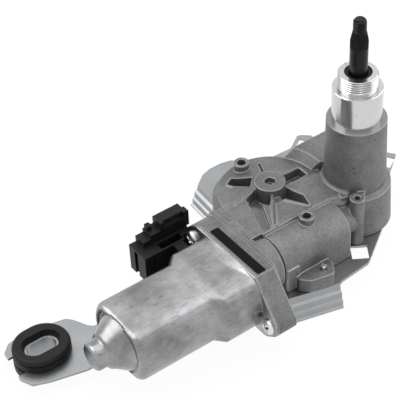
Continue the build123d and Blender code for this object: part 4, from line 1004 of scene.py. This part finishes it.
def zinc_plate(name, color, roughness, corner):
    """Pale plated steel: faint clouds and fine scratches over soft corners, with painted shade in recesses.
    """
    material, tree, shader = principled(name, color, 1.0, roughness)
    position = object_position(tree)
    clouds = noise_node(tree, 40.0, 4.0, 0.6)
    tree.links.new(position, clouds.inputs["Vector"])
    slow = remap_node(tree, 0.3, 0.7, 0.9, 1.06)
    tree.links.new(clouds.outputs["Fac"], slow.inputs["Value"])
    scratches = noise_node(tree, 1.0, 3.0, 0.7)
    tree.links.new(stretched(tree, position, (180.0, 1400.0, 900.0)), scratches.inputs["Vector"])
    # painted shade in any recess that the root attribute marks, such as a screw's cross
    paint_root_shade(tree, shader, tint(tree, color, slow.outputs["Result"]), color)
    lay_bump(tree, shader, scratches.outputs["Fac"], 0.06, 0.0001, rounded_normal(tree, corner))
    return material


# %% [markdown]
# ## Rubber, plastic and the other materials
#
# Moulded rubber and plastic are black with a fine, uneven skin: a little grain in the bump and in the
# roughness keeps them from looking like holes in the picture. The pieces inside get the finishes that
# show when the gearbox is taken apart.

# %% Moulded and other materials
def moulded(name, color, roughness, grain_scale, strength, shine=0.22):
    """A moulded skin: fine grain in tone, roughness and bump."""
    material, tree, shader = principled(name, color, 0.0, roughness)
    shader.inputs["Specular IOR Level"].default_value = shine
    position = object_position(tree)
    grain = noise_node(tree, grain_scale, 3.0, 0.6)
    tree.links.new(position, grain.inputs["Vector"])
    tone = remap_node(tree, 0.3, 0.7, 0.7, 1.3)
    rough = remap_node(tree, 0.3, 0.7, roughness - 0.06, roughness + 0.06)
    tree.links.new(grain.outputs["Fac"], tone.inputs["Value"])
    tree.links.new(grain.outputs["Fac"], rough.inputs["Value"])
    tree.links.new(tint(tree, color, tone.outputs["Result"]), shader.inputs["Base Color"])
    tree.links.new(rough.outputs["Result"], shader.inputs["Roughness"])
    lay_bump(tree, shader, grain.outputs["Fac"], strength, 0.0001, rounded_normal(tree, 0.0004))
    return material


def brushed(name, color, roughness, stretch):
    """A plain worked metal for the pieces inside: one stretched grain in tone and bump."""
    material, tree, shader = principled(name, color, 1.0, roughness)
    grain = noise_node(tree, 1.0, 3.0, 0.6)
    tree.links.new(stretched(tree, object_position(tree), stretch), grain.inputs["Vector"])
    tone = remap_node(tree, 0.3, 0.7, 0.88, 1.08)
    tree.links.new(grain.outputs["Fac"], tone.inputs["Value"])
    tree.links.new(tint(tree, color, tone.outputs["Result"]), shader.inputs["Base Color"])
    lay_bump(tree, shader, grain.outputs["Fac"], 0.1, 0.0001)
    return material


materials = {
    "cast_aluminium": cast_aluminium(),
    "turned_aluminium": turned_metal("turned_aluminium", (0.62, 0.62, 0.625), 0.17, 0.2),
    "zinc_plated_steel": zinc_plate("zinc_plate", (0.335, 0.345, 0.355), 0.34, 0.0005),
    "black_steel": turned_metal("black_steel", (0.018, 0.018, 0.019), 0.36, 0.12, 0.85),
    "plain_steel": brushed("plain_steel", (0.52, 0.52, 0.52), 0.36, (200.0, 200.0, 1200.0)),
    "bronze": brushed("bronze", (0.55, 0.38, 0.2), 0.4, (300.0, 300.0, 1200.0)),
    "copper": brushed("copper", (0.7, 0.36, 0.2), 0.35, (1600.0, 200.0, 200.0)),
    "magnet": moulded("magnet", (0.06, 0.06, 0.06), 0.7, 900.0, 0.2),
    "rubber": moulded("rubber", (0.006, 0.006, 0.0065), 0.5, 700.0, 0.15),
    "black_plastic": moulded("black_plastic", (0.006, 0.006, 0.0065), 0.45, 1100.0, 0.2),
    "white_nylon": moulded("white_nylon", (0.8, 0.79, 0.74), 0.45, 500.0, 0.05),
    "carbon": moulded("carbon", (0.04, 0.04, 0.04), 0.6, 1500.0, 0.25),
}
own_finish = {
    "motor_can": drawn_steel(),
    "label_strip": moulded("strip_film", (0.004, 0.004, 0.004), 0.6, 1300.0, 0.1, 0.08),
}
screw_finish = zinc_plate("screw_zinc", (0.75, 0.75, 0.76), 0.26, 0.0002)

# %% [markdown]
# ## Dressing the pieces
#
# The new skins take the place of the plain solids that they stand for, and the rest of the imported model
# keeps its own meshes. Each node gets the finish of the material that its record names, but for the can
# and the strip, which have finishes of their own.

# %% Detailed pieces and their finishes
splined_shaft = make_output_shaft()
threaded_sleeve = make_spindle_sleeve()
drawn_can = make_can()
can_flange_plate = make_can_flange()
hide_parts("motor_can")
for piece in (drawn_can, can_flange_plate):
    piece.data.materials.append(own_finish["motor_can"])
splined_shaft.data.materials.append(materials["black_steel"])
threaded_sleeve.data.materials.append(materials["turned_aluminium"])
screw_turns = {"can_screw_1": 12.0, "can_screw_2": 50.0, "bracket_screw_1": 20.0, "bracket_screw_2": 75.0,
               "bracket_screw_3": 40.0, "bracket_screw_4": 5.0}
for node, turn_degrees in screw_turns.items():
    head_axis = (-1, 0, 0) if node.startswith("can") else (0, 0, -1)
    screw = make_screw(node, head_axis, turn_degrees)
    screw.data.materials.append(screw_finish)

for entry in frame["record"]["subparts"]:
    node = nodes[entry["node"]]
    node.data.materials.clear()
    node.data.materials.append(own_finish.get(entry["node"], materials[entry["material_slot"]]))
print("materials:", len(materials) + len(own_finish))
